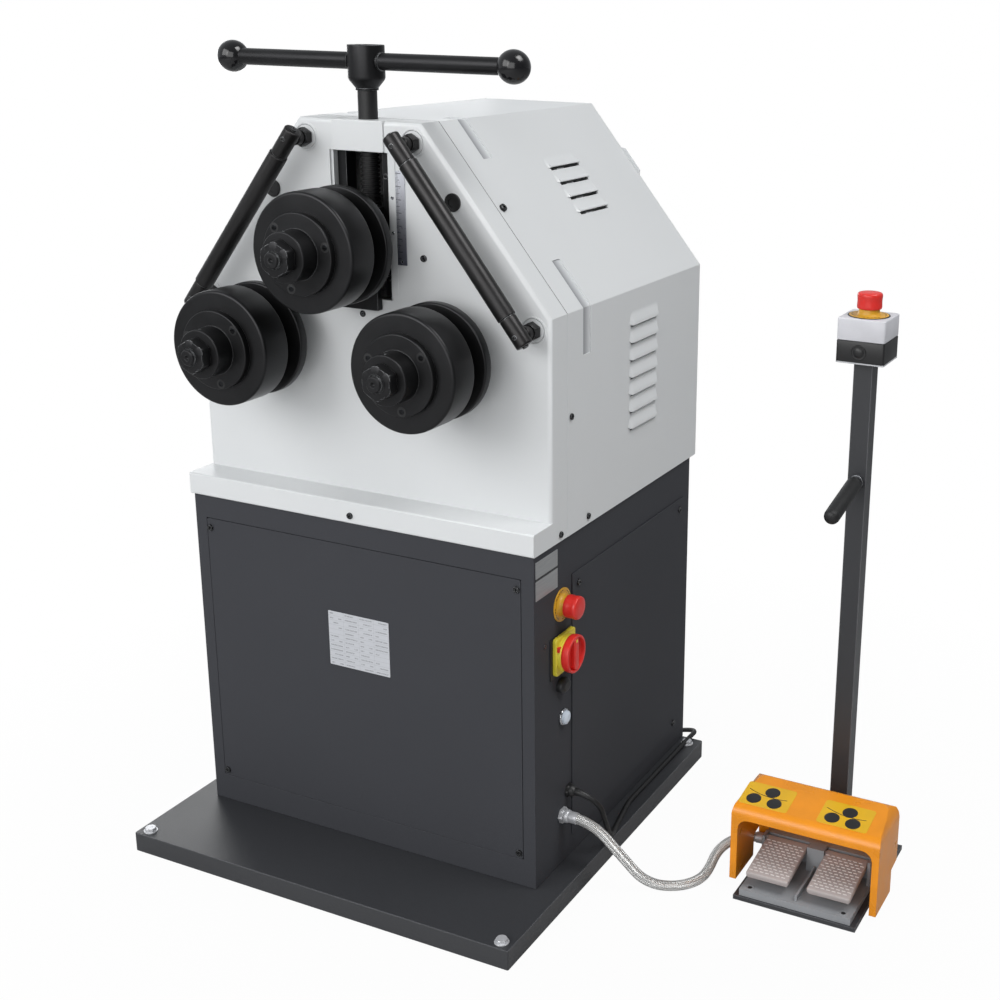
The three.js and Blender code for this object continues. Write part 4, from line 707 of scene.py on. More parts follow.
def sleeve(path, radius, sides=16):
    """A tube wrapped from a grid round a path, with its UV map: metres along, once round."""
    count = len(path)
    radii = radius if isinstance(radius, list) else [radius] * count
    bm = bmesh.new()
    bmesh.ops.create_grid(bm, x_segments=count - 1, y_segments=sides, size=1, calc_uvs=True)
    lengths = [0.0]
    for before, here in zip(path, path[1:]):
        lengths.append(lengths[-1] + (here - before).length)
    side = Vector((0, 0, 1))
    frames = []
    for i in range(count):
        along = (path[min(i + 1, count - 1)] - path[max(i - 1, 0)]).normalized()
        side = (side - along * side.dot(along)).normalized()
        frames.append((side.copy(), along.cross(side)))
    spots = {}
    for vert in bm.verts:
        row = round((vert.co.x + 1) / 2 * (count - 1))
        spoke = round((vert.co.y + 1) / 2 * sides)
        spots[vert] = (row, spoke)
    uv = bm.loops.layers.uv.verify()
    for face in bm.faces:
        for loop in face.loops:
            row, spoke = spots[loop.vert]
            loop[uv].uv = (lengths[row] * MILLIMETRE, spoke / sides)
    for vert, (row, spoke) in spots.items():
        angle = 2 * math.pi * spoke / sides
        across, rise = frames[row]
        vert.co = path[row] + (across * math.cos(angle) + rise * math.sin(angle)) * radii[row]
    bmesh.ops.remove_doubles(bm, verts=bm.verts, dist=WELD)
    ends = [edge for edge in bm.edges if len(edge.link_faces) == 1]
    bmesh.ops.holes_fill(bm, edges=ends, sides=sides)
    bmesh.ops.recalc_face_normals(bm, faces=bm.faces)
    return bm


def run_length(path):
    return sum((b - a).length for a, b in zip(path, path[1:]))


# Cords

HOSE_ROUTE = [
    (346.5, 37.6, 126.8), (350, 37.6, 126.8), (363.3, 37.9, 126), (379.5, 39.5, 121.6),
    (394, 42.3, 113.5), (405.8, 46.3, 102.2), (415.2, 51, 89), (424.5, 55.7, 75.7),
    (433.7, 60.4, 62.4), (442.9, 65.2, 49.1), (452.2, 69.9, 35.8), (462.8, 75.1, 23.8),
    (475.8, 81.1, 15), (490.4, 87.6, 9.9), (505.9, 94.3, 8.7), (520.2, 103, 8.7), (532, 115.1, 8.7),
    (540.4, 129.7, 8.7), (544.8, 145.9, 8.7), (545.5, 162.7, 9.1), (545.5, 179.1, 12.9),
    (545.6, 194.7, 19.2), (548.5, 210.1, 25.5), (555.7, 224.1, 31.3), (566.6, 236, 36.1),
    (580.5, 244.7, 39.7), (596.4, 249.8, 41.8), (609.2, 251, 42.3), (613.2, 251, 42.3),
]
CORD_ROUTE = [
    (346.5, 58.8, 162.7), (350.5, 58.8, 162.7), (361.7, 60.3, 159.8), (375.6, 65, 151.2),
    (384.2, 71.8, 138.4), (386.2, 79.8, 123.6), (385.7, 87.8, 108.5), (385.2, 95.9, 93.5),
    (384.7, 103.9, 78.5), (383.3, 113.6, 64.5), (380, 126.2, 53.7), (374.9, 140.9, 46.8),
    (369.7, 156.4, 41.9), (365.6, 172.8, 39.8), (362.4, 189.5, 39.7), (359.2, 206.3, 39.7),
    (356, 223, 39.7), (352.8, 239.8, 39.7), (350.2, 256.6, 39.7), (349.1, 273.6, 39.7),
    (349, 290.7, 39.7), (349, 324.8, 39.7), (349, 358.9, 39.7), (349, 393, 39.7),
    (349, 427.1, 39.7), (349, 461.2, 39.7), (349, 495.4, 39.7), (349, 512.4, 39.7),
    (349, 529.5, 39.7), (349, 546.5, 39.2), (346.2, 562.9, 35.8), (339, 577.4, 30.4),
    (328.4, 589, 24.1), (315, 597.2, 17.5), (299.9, 602.3, 11.4), (285.9, 610.5, 6.7),
    (274.4, 622.9, 4.5), (267.1, 638.2, 4.5), (264.63, 650.3, 4.5), (264.63, 654.3, 4.5),
]
HOSE_DIAMETER = 17.0
CORD_DIAMETER = 9.0
COIL_CENTRE = (195.0, 655.0)
COIL_TURNS = 6.25
COIL_INNER = 39.0
COIL_PITCH = 9.8
COIL_CLIMB = 0.25


def coil_point(turns):
    """The coil winds in on the floor and out again one layer up."""
    middle = COIL_TURNS / 2
    radius = COIL_INNER + COIL_PITCH * abs(turns - middle)
    share = min(1.0, max(0.0, (turns - middle + COIL_CLIMB) / (2 * COIL_CLIMB)))
    climb = eased(share)
    angle = 2 * math.pi * turns
    return Vector((
        COIL_CENTRE[0] + radius * math.cos(angle),
        COIL_CENTRE[1] + radius * math.sin(angle),
        CORD_DIAMETER / 2 + COIL_PITCH * climb,
    ))


def coil_path():
    """The wound cord up to its plug, and the way that the plug points."""
    per_turn = 40
    plug_height = 19.0
    count = round(COIL_TURNS * per_turn)
    path = [coil_point(i / per_turn) for i in range(count + 1)]
    lead = path[-1] - path[-2]
    lead.z = 0
    lead.normalize()
    rise = path[-1] + lead * 22
    rise.z = plug_height
    start = path[0] + Vector((0, -0.3, 0))
    return [start, *path, *smooth_path([path[-1], rise, rise + lead * 9])[1:]], lead


def make_plug():
    """The three-pin plug at the end of the coil, its fluted grip towards the cord."""
    flutes = 12
    flute_depth = 0.045
    flutes_start = 34
    flutes_end = 61
    pin_count = 3
    pin_circle = 9
    path, lead = coil_path()
    start = path[-1] + lead * 0.3
    relief = turned([
        (4.7, 0), (6.2, 0, 0.6), (6.2, 3.4), (5.6, 4.2), (6.8, 5), (6.8, 8.4), (6.2, 9.2), (7.6, 10),
        (7.6, 13.4), (7, 14.2), (8.6, 15), (8.6, 18.4), (8, 19.2), (10, 22), (10, 27), (4.7, 27)],
        "X", 32, True)
    body = stacked([
        (26, 10), (26.4, 14), (29, 17.4), (33, 19), (60, 19), (66, 18.4), (88, 18.4), (88.6, 17),
        (102.6, 17), (104, 16), (104, 14.6), (101, 14.4), (101, 12)], "X", 96)
    for vert in body.verts:
        if not flutes_start <= vert.co.x <= flutes_end:
            continue
        angle = math.atan2(vert.co.z, vert.co.y)
        dip = 1 - flute_depth * (0.5 + 0.5 * math.cos(flutes * angle)) ** 4
        vert.co.y *= dip
        vert.co.z *= dip
    pins = []
    for i in range(pin_count):
        angle = 2 * math.pi * i / pin_count + math.pi / 2
        pin = turned([(0, 99), (2.5, 99), (2.5, 122, 1.4), (0, 122)], "X", 24)
        pins.append(moved(pin, 0, pin_circle * math.cos(angle), pin_circle * math.sin(angle)))
    heading = math.degrees(math.atan2(lead.y, lead.x))
    made = []
    for bm, name, finish, nodes in (
            (joined(relief, body), "plug_body", "black", ["power_plug"]),
            (joined(*pins), "plug_pins", "plated", [])):
        turned_by(bm, z=heading)
        moved(bm, *start)
        made.append(finished(bm, name, finish, "machine", nodes))
    return made


def make_cords():
    hose_path = smooth_path(HOSE_ROUTE)
    hose = finished(
        sleeve(hose_path, HOSE_DIAMETER / 2, 20), "braided_hose", "braid", "machine",
        ["foot_switch_hose"])
    hose.data.uv_layers[0].name = "along"
    run_length(hose_path) * MILLIMETRE
    [TO_ROW @ p for p in hose_path]
    run_path = smooth_path(CORD_ROUTE)
    wound_path, _ = coil_path()
    whole = [*run_path, *wound_path]
    bm = joined(
        sleeve(run_path, CORD_DIAMETER / 2), sleeve(wound_path, CORD_DIAMETER / 2, 12))
    cord = finished(
        bm, "power_cord", "rubber", "machine", ["power_cord_run", "power_cord_coil"])
    cord.data.uv_layers[0].name = "along"
    run_length(whole) * MILLIMETRE
    [TO_ROW @ p for p in whole]
    make_plug()


# Small fasteners

def socket_screw(place, axis, out, radius, height, flats, sides=24):
    """A round screw head with a hexagon socket, standing on the surface at place."""
    rings = [
        (0, radius), (out * height * 0.7, radius), (out * height * 0.92, radius * 0.93),
        (out * height, radius * 0.8), (out * height, flats * 0.62),
        (out * height * 0.96, flats, "hex"), (out * height * 0.3, flats, "hex"),
    ]
    return moved(stacked(rings, axis, sides), *place)


def foot_bolt(place):
    """A hexagon head on its washer."""
    flats = 17.0
    washer_top = 1.6
    head_top = 7.0
    washer = turned([(0, 0), (12, 0), (12, washer_top, 0.5), (0, washer_top)], "Z", 40)
    head = stacked([
        (washer_top, flats, "hex"), (head_top - 1.2, flats, "hex"),
        (head_top, flats, "hex", flats / 2)], "Z", 48)
    return moved(joined(washer, head), *place)


def screw_row(name, places, axis, out, *form, finish="steel"):
    """Numbered screws alike, at places on one face."""
    for i, place in enumerate(places, 1):
        finished(socket_screw(place, axis, out, *form), f"{name}_{i}", finish)


# Stand

FRONT_PANEL_SCREWS = ((-301, 557), (301, 557), (-301, 95.5), (301, 95.5))
SIDE_PANEL_SCREWS = ((91, 525), (492, 525), (482, 92), (91, 92))
FOOT_BOLTS = ((-353, -196), (353, -196), (-351, 516), (351, 516))


def make_stand():
    dressed("base_tray", "tray", "tray", 1.4)
    dressed("cabinet_shell", "cabinet", "cabinet")
    dressed("front_access_panel", "front_panel", "cabinet", 0.6)
    dressed("electrics_panel", "side_panel", "cabinet", 0.6)
    front = limits("cabinet_shell")[0].y
    side = limits("electrics_panel")[1].x
    tray_top = limits("base_tray")[1].z
    form = (5.6, 3.4, 5)
    places = [(x, front, z) for x, z in FRONT_PANEL_SCREWS]
    screw_row("front_panel_screw", places, "Y", -1, *form)
    places = [(side, y, z) for y, z in SIDE_PANEL_SCREWS]
    screw_row("side_panel_screw", places, "X", 1, *form)
    for i, (x, y) in enumerate(FOOT_BOLTS, 1):
        finished(foot_bolt((x, y, tray_top)), f"foot_bolt_{i}", "plated", coating=ZINC)
    make_plates(front, limits("cabinet_shell")[1].x)


def make_plates(front, side):
    """The settings chart on the front and the two data plates on the side, with nothing on them
    but ruled lines."""
    width = 120.4
    height = 97
    middle_x = -0.8
    middle_z = 403.5
    chart = slab(box_outline(width, height, 1.5), "Y", -0.7, 0.2, 0.2, 1)
    moved(chart, middle_x, front, middle_z)
    corner = at(middle_x - width / 2, front, middle_z - height / 2)
    finished(chart, "settings_chart", "plated", coating=chart_finish(corner))
    plate_width = 70
    plate_y = -11
    lower_foot, lower_top, upper_foot, upper_top = 540, 572.6, 576.6, 604
    for name, foot, top in (("upper", upper_foot, upper_top), ("lower", lower_foot, lower_top)):
        plate = slab(box_outline(plate_width, top - foot, 1), "X", -0.2, 0.7, 0.2, 1)
        moved(plate, side, plate_y, (foot + top) / 2)
        finished(plate, f"data_plate_{name}", "plated", coating=plate_finish())
    gap = brick(
        (side - 0.2, plate_y - plate_width / 2, lower_top - 0.2),
        (side + 0.5, plate_y + plate_width / 2, upper_foot + 0.2), 0)
    finished(gap, "data_plate_gap", "black")


def chart_finish(corner):
    """Printed settings chart: rows and columns of short dashes, no words or numbers."""
    row_pitch = 0.0081
    column_pitch = 0.0301
    dashes_a_column = 3
    left_out = 0.35
    coating = Coating("settings_chart", shade(196, 198, 202), 0.4, 0.25)
    _, (x, _, z) = coating.axes(tuple(corner))
    row = z / row_pitch
    column = x / column_pitch
    down = row % 1
    across = column % 1
    scatter = coating.node("ShaderNodeTexWhiteNoise", {"noise_dimensions": "2D"}, {
        "Vector": coating.node("ShaderNodeCombineXYZ", {}, {
            0: row.floor(), 1: (column * dashes_a_column).floor()}).outputs[0]})
    mark = down.between(0.36, 0.62) * across.between(0.1, 0.9)
    broken = Signal(coating, scatter.outputs["Value"]) > left_out
    ink = mark * broken * (coating.noise(900, 1.0) > 0.42)
    rule = (down < 0.06) + (across < 0.015)
    coating.tint(ink * 0.55 + rule * 0.3, shade(200, 202, 207), shade(92, 94, 100))
    coating.gloss(coating.noise(80, 2.0), 0.3, 0.7, 0.34, 0.5)
    return coating


def plate_finish():
    """Bare brushed plate."""
    coating = Coating("data_plate", shade(142, 144, 145), 0.4, 0.15)
    vector, _ = coating.axes(scale=(600, 30, 600))
    grain = coating.noise(1.0, 3.0, vector)
    coating.tint(grain, shade(126, 128, 129), shade(160, 162, 163))
    coating.gloss(grain, 0.3, 0.7, 0.3, 0.46)
    return coating


# Head covers

SHOULDER_Z = 974.7
RIDGE_X = 112.5


def near_line(edge, x, z):
    """Whether an edge runs along the line at that place on either side."""
    reach = 1.2
    return all(
        abs(abs(v.co.x) - x) < reach and abs(v.co.z - z) < reach for v in edge.verts)


def make_head():
    shoulder_x = limits("front_housing")[1].x
    top = limits("rear_cover")[1].z
    seam = limits("rear_cover")[0].y

    def cover_edges(edge):
        at_seam = all(abs(v.co.y - seam) < 0.2 for v in edge.verts)
        return (near_line(edge, shoulder_x, SHOULDER_Z) or near_line(edge, RIDGE_X, top)
                or at_seam)

    dressed("rear_cover", "rear_cover_shell", "head", 1.6, 3, 30, cover_edges)
    dressed("front_housing", "front_cover", "head", 0.9, angle=42)
    dressed("head_back_panel", "back_cover", "head", 0.7)
    dressed("nut_block", "top_block", "head", 1.3, 3, 42)
    make_louvres(shoulder_x, top)
    make_slot_floors(shoulder_x, top, seam)
    for i, (x, z, height) in enumerate(((113.7, 1047.9, 3.2), (-4.1, 950.0, 1.0)), 1):
        screw = socket_screw((x, 0, z), "Y", -1, 5.4, height, 4.6)
        finished(screw, f"face_screw_{i}", "steel")
    plug_x = 168
    plug_z = 1137
    for label, side in SIDES.items():
        plug = stacked([
            (0.2, 14), (-1.8, 14), (-2.6, 13), (-2.6, 8.6), (-2.5, 14, "hex"), (-1.2, 13.6, "hex"),
            (-1.2, 3)], "Y")
        finished(moved(plug, side * plug_x, 0, plug_z), f"socket_plug_{label}", "black")
    ledge_front = limits("front_housing")[0].y
    finished(socket_screw((-4, ledge_front, 629), "Y", -1, 5.4, 3.2, 4.6), "ledge_screw", "steel")
    for i, (y, z) in enumerate(((63.9, 810.5), (29, 627), (122, 629)), 1):
        for label, side in SIDES.items():
            screw = socket_screw((side * shoulder_x, y, z), "X", side, 5.2, 3.2, 4.6)
            finished(screw, f"cover_screw_{label}_{i}", "steel")
    make_seam(shoulder_x, top, seam)


def make_seam(shoulder_x, top, seam):
    """The dark line between the two covers, and the screw on each slope behind it."""
    tilt = slope_tilt(shoulder_x, top)
    run = math.hypot(top - SHOULDER_Z, shoulder_x - RIDGE_X)
    lines = [brick((-RIDGE_X, seam - 1.2, top - 0.3), (RIDGE_X, seam - 0.1, top + 0.12), 0)]
    for side in SIDES.values():
        line = brick((-0.3, seam - 1.2, 0), (0.12, seam - 0.1, run), 0)
        turned_by(line, y=-tilt)
        moved(line, shoulder_x, 0, SHOULDER_Z)
        lines.append(mirrored(line, side))
    finished(joined(*lines), "seam_shadow", "black")
    x, z = slope_point(191.6, shoulder_x, top)
    for label, side in SIDES.items():
        screw = socket_screw((0, 0, 0), "X", 1, 6.2, 5.0, 5.2)
        turned_by(screw, y=-tilt)
        moved(mirrored(screw, side), side * x, 65.9, z)
        finished(screw, f"slope_screw_{label}", "steel")


def slope_tilt(shoulder_x, top):
    """How far the right slope leans in from upright, in degrees."""
    return 90 - math.degrees(math.atan2(top - SHOULDER_Z, shoulder_x - RIDGE_X))


def slope_point(along, shoulder_x, top):
    """A place on the right slope, so far up from the shoulder."""
    run = shoulder_x - RIDGE_X
    rise = top - SHOULDER_Z
    length = math.hypot(run, rise)
    return shoulder_x - run * along / length, SHOULDER_Z + rise * along / length


def louvre_hood(proud):
    """A pressed hood on the YZ plane facing +X, open along its lower edge."""
    length = 112.0
    height = 23.0
    across = 32
    up = 12
    clear = 0.12
    end_share = 0.14
    corner_share = 0.08
    corner_lift = 0.12
    narrowing = 0.06
    lip = 1.4
    lip_rise = 1.2
    bm = bmesh.new()
    bmesh.ops.create_grid(bm, x_segments=across, y_segments=up, size=1)
    for vert in bm.verts:
        u = vert.co.x
        v = (vert.co.y + 1) / 2
        inwards = 1 - abs(u)
        swell = eased(min(1.0, inwards / end_share)) * (1 - eased(v))
        lean = corner_lift * height * (1 - min(1.0, inwards / corner_share)) ** 2
        vert.co = (
            clear + proud * swell,
            u * length / 2 * (1 - narrowing * v * v),
            lean + v * (height - lean))
    low_edges = [e for e in bm.edges if len(e.link_faces) == 1 and all(
        v.co.z < 0.21 * height for v in e.verts)]
    for item in bmesh.ops.extrude_edge_only(bm, edges=low_edges)["geom"]:
        if isinstance(item, bmesh.types.BMVert):
            item.co.x = max(0.1, item.co.x - lip)
            item.co.z += lip_rise
    bmesh.ops.recalc_face_normals(bm, faces=bm.faces)
    facing = sum(face.normal.x * face.calc_area() for face in bm.faces)
    if facing < 0:
        bmesh.ops.reverse_faces(bm, faces=bm.faces)
    return bm


def make_louvres(shoulder_x, top):
    """The pressed hoods, seven on each side and four on each slope, over their slits, each slit filled
    with a black sheet as painted shade.
    """
    middle = 323.5
    lowest = 738.5
    side_pitch = 29.7
    slope_start = 155
    slope_pitch = 29.4
    tilt = slope_tilt(shoulder_x, top)
    places = [(shoulder_x, lowest + i * side_pitch, 0) for i in range(7)]
    for i in range(4):
        x, z = slope_point(slope_start + i * slope_pitch, shoulder_x, top)
        places.append((x, z, -tilt))
    for label, side in SIDES.items():
        hoods = []
        slit_shades = []
        for x, z, turn in places:
            hood = moved(louvre_hood(3.2 if turn else 5.6), 0, 0, -0.8)
            turned_by(hood, y=turn)
            hoods.append(moved(hood, x, middle, z))
            # Black sheet set in each slit under its hood: painted shade.
            foot = -2.4 if turn else -1.4
            slit_shade = slab(
                [(-50, 0.6), (-42, foot), (42, foot), (50, 0.6), (44, 2.2), (-44, 2.2)],
                "X", -0.2, 0.12, 0)
            turned_by(slit_shade, y=turn)
            slit_shades.append(moved(slit_shade, x, middle, z))
        finished(mirrored(joined(*hoods), side), f"louvre_hoods_{label}", "head")
        finished(mirrored(joined(*slit_shades), side), f"louvre_slit_shade_{label}", "black")


def slot_floor_finish(front, depth):
    """Head enamel seen down a slot, in shade under the slot's front edge."""
    coating = Coating("slot_floor", shade(196, 198, 200), 0.5)
    _, (_, y, _) = coating.axes(tuple(at(0, front, 0)))
    # Painted shade: the colour darkens towards the slot's front edge.
    lit = coating.span(y + (coating.noise(40.0, 2.0) - 0.5) * 0.002, 0.0, depth * MILLIMETRE)
    coating.tint(lit, shade(128, 130, 134), shade(214, 216, 218))
    coating.gloss(coating.noise(3.5, 3.0), 0.3, 0.7, 0.42, 0.56)
    return coating


def make_slot_floors(shoulder_x, top, seam):
    """The plate seen down the four slots that wrap round the cover's corners."""
    front = seam + 51.3
    width = 25.5
    coating = slot_floor_finish(front, width)
    run = shoulder_x - RIDGE_X
    rise = top - SHOULDER_Z
    length = math.hypot(run, rise)
    uphill = Vector((-run, rise)) / length
    outwards = Vector((rise, run)) / length
    shoulder = Vector((shoulder_x, SHOULDER_Z))
    ridge = Vector((RIDGE_X, top))
    right, left, up, down = (Vector(way) for way in ((1, 0), (-1, 0), (0, 1), (0, -1)))
    for label, corner, normal_a, along_a, reach_a, normal_b, along_b, reach_b in (
            ("lower", shoulder, right, down, 75.0, outwards, uphill, 88.0),
            ("upper", ridge, outwards, -uphill, 75.5, up, left, 27.5)):
        bisector = (normal_a + normal_b) / (1 + normal_a.dot(normal_b))
        outer, inner = (
            [corner + along_a * reach_a - normal_a * depth, corner - bisector * depth,
             corner + along_b * reach_b - normal_b * depth]
            for depth in (1.8, 2.6))
        points = [tuple(p) for p in (*outer, *reversed(inner))]
        for side_label, side in SIDES.items():
            floor = slab(points, "Y", front - 0.4, front + width + 0.4, 0)
            name = f"slot_floor_{label}_{side_label}"
            finished(mirrored(floor, side), name, "head", coating=coating)


# Slot, guides, carriage and lead screw

def make_slot():
    for side, upper_z in (("left", 1134), ("right", 1166)):
        strip = f"guide_strip_{side}"
        dressed(strip, f"guide_{side}", "steel", 0.9)
        x = middle_of(strip).x
        front = limits(strip)[0].y
        places = [(x, front, z) for z in (upper_z, 1010)]
        screw_row(f"guide_{side}_screw", places, "Y", -1, 5.5, 4.5, 4.8)
    dressed("carriage", "slide_block", "steel")
    make_lead_screw()
    make_ruler()


def threaded(outer, inner, pitch, low, high):
    """A trapezoidal thread about Z, wound by a spin that climbs as it turns."""
    steps = 32
    bm = bmesh.new()
    turns = int((high - low) / pitch) - 1
    profile = ((inner, 0), (inner, 0.3), (outer, 0.5), (outer, 0.8), (inner, 1.0))
    verts = [bm.verts.new((radius, 0, low + share * pitch)) for radius, share in profile]
    edges = [bm.edges.new(pair) for pair in zip(verts, verts[1:])]
    bmesh.ops.spin(
        bm, geom=verts + edges, cent=(0, 0, 0), axis=(0, 0, 1), angle=2 * math.pi * turns,
        dvec=(0, 0, pitch / steps), steps=steps * turns, use_merge=False, use_duplicate=False)
    bmesh.ops.remove_doubles(bm, verts=bm.verts, dist=0.02)
    bmesh.ops.recalc_face_normals(bm, faces=bm.faces)
    return bm


def make_lead_screw():
    low, high = limits("lead_screw")
    centre = (low + high) / 2
    outer = 15.0
    inner = 12.6
    foot = low.z
    thread_foot = 1125
    pitch = 6.0
    block_foot = limits("nut_block")[0].z
    core = turned([
        (0, foot), (outer - 1, foot, 0.6), (outer, foot + 1), (outer, thread_foot - 1),
        (inner, thread_foot + 1), (inner, block_foot + 4), (outer, block_foot + 6),
        (outer, high.z), (0, high.z)], "Z", 56)
    thread = threaded(outer, inner - 0.4, pitch, thread_foot, block_foot + 8)
    bm = moved(joined(core, thread), centre.x, centre.y, 0)
    finished(bm, "threaded_screw", "steel", "screw", ["lead_screw"], GREASED, sharp=50)


def ruler_finish(left, foot, width):
    """Steel rule: ticks from its left edge, longer at every fifth and tenth, on metal painted light at
    the top and dark at the foot as a painted reflection.
    """
    tick_pitch = 0.002
    bright_height = 0.13
    coating = Coating("steel_rule", shade(150, 154, 168), 0.34, 0.55)
    _, (x, _, z) = coating.axes(tuple(at(left, 0, foot)))
    along = z / tick_pitch
    across = x / (width * MILLIMETRE)
    tick = (along % 1) < 0.3
    five = (along / 5 % 1) < 0.08
    ten = (along / 10 % 1) < 0.05
    ink = tick * (across < 0.28) + five * (across < 0.42) + ten * (across < 0.58)
    # Painted reflection: the rule is lighter towards its top.
    shine = coating.span(z, 0.0, bright_height)
    metal = coating.mix(shine, shade(92, 94, 108), shade(220, 222, 230))
    coating.tint(ink * 0.8, metal, shade(40, 42, 50))
    coating.gloss(coating.noise(300, 2.0), 0.3, 0.7, 0.26, 0.42)
    return coating


def make_ruler():
    left = 66.4
    right = 83.3
    foot = 1034
    face = -1.4
    rule = brick((left, face, foot), (right, -0.02, 1178), 0.3, 1)
    coating = ruler_finish(left, foot, right - left)
    finished(rule, "travel_rule", "plated", coating=coating)
    backing_face = -1.0
    backing = brick((56, backing_face, 985), (66, 0.2, 1200), 0.3, 1)
    finished(backing, "rule_backing", "head")
    places = [(60, backing_face, z) for z in (1136.6, 1082.9)]
    screw_row("backing_screw", places, "Y", -1, 2.6, 1.2, 2.4, 18, finish="plated")
    screw = socket_screw((74.8, face, 1040), "Y", -1, 2.8, 1.2, 2.4, 18)
    finished(screw, "rule_screw", "plated")


# Handle

def make_handle():
    hub = middle_of("handle_hub")
    centre = (hub.x, hub.y, middle_of("handle_bar").z)
    make_hub(centre)
    turn = -2.6
    reach = 266.7
    knob = 25.0
    flat = 10.0
    flat_height = math.sqrt(knob ** 2 - flat ** 2)
    end = reach - flat_height + 3
    bar = turned([(0, -end), (13, -end), (13, -34), (13, 34), (13, end), (0, end)], "X", 56)
    shoulders = [
        turned(
            [(13, out * 27), (15.2, out * 27.6, 1), (14.2, out * 30, 1), (13, out * 30.6)],
            "X", 48, True)
        for out in (-1, 1)]
    weld = joined(*shoulders)
    coating = blackened("bar_steel", at(*centre), "X", 1800)
    for bm, name, nodes in ((bar, "cross_bar", ["handle_bar"]), (weld, "bar_shoulders", [])):
        turned_by(bm, z=turn)
        finished(moved(bm, *centre), name, "steel", "screw", nodes, coating)
    gloss = moulded("ball_gloss", shade(22, 22, 24), 0.14)
    first = math.asin(flat / knob)
    count = 28
    arc = []
    for i in range(count + 1):
        angle = first + (math.pi - first) * i / count
        arc.append((knob * math.sin(angle) if i < count else 0, -knob * math.cos(angle)))
    for label in ("right", "left"):
        side = SIDES[label]
        ball = turned([(0, -flat_height), (flat - 0.5, -flat_height), *arc], "X", 64)
        moved(mirrored(ball, side), side * reach)
        turned_by(ball, z=turn)
        moved(ball, *centre)
        finished(ball, f"ball_{label}", "steel", "screw", [f"handle_knob_{label}"], gloss)


def make_hub(centre):
    low, high = limits("handle_hub")
    foot = low.z
    top = high.z
    hub = turned([
        (15.4, foot + 4), (15.4, foot), (17, foot, 0.8), (28.5, foot + 14, 3.5), (28.5, top, 1.6),
        (15.6, top, 1.0), (15.0, top - 1.2), (0, top - 1.2)], "Z", 72)
    collar = turned(
        [(15.2, foot - 3), (17.6, foot - 3, 1), (17.6, foot + 0.6), (15.2, foot + 0.6)],
        "Z", 56, True)
    coating = blackened("hub_steel", at(*centre[:2], 0), "Z")
    for bm, name, nodes in ((hub, "hub", ["handle_hub"]), (collar, "hub_collar", [])):
        finished(moved(bm, *centre[:2]), name, "steel", "screw", nodes, coating)


# Rolls

FLANGE_SCREWS = {"right": (157, 37, -83), "top": (136, 16, -104), "left": (161, 41, -79)}


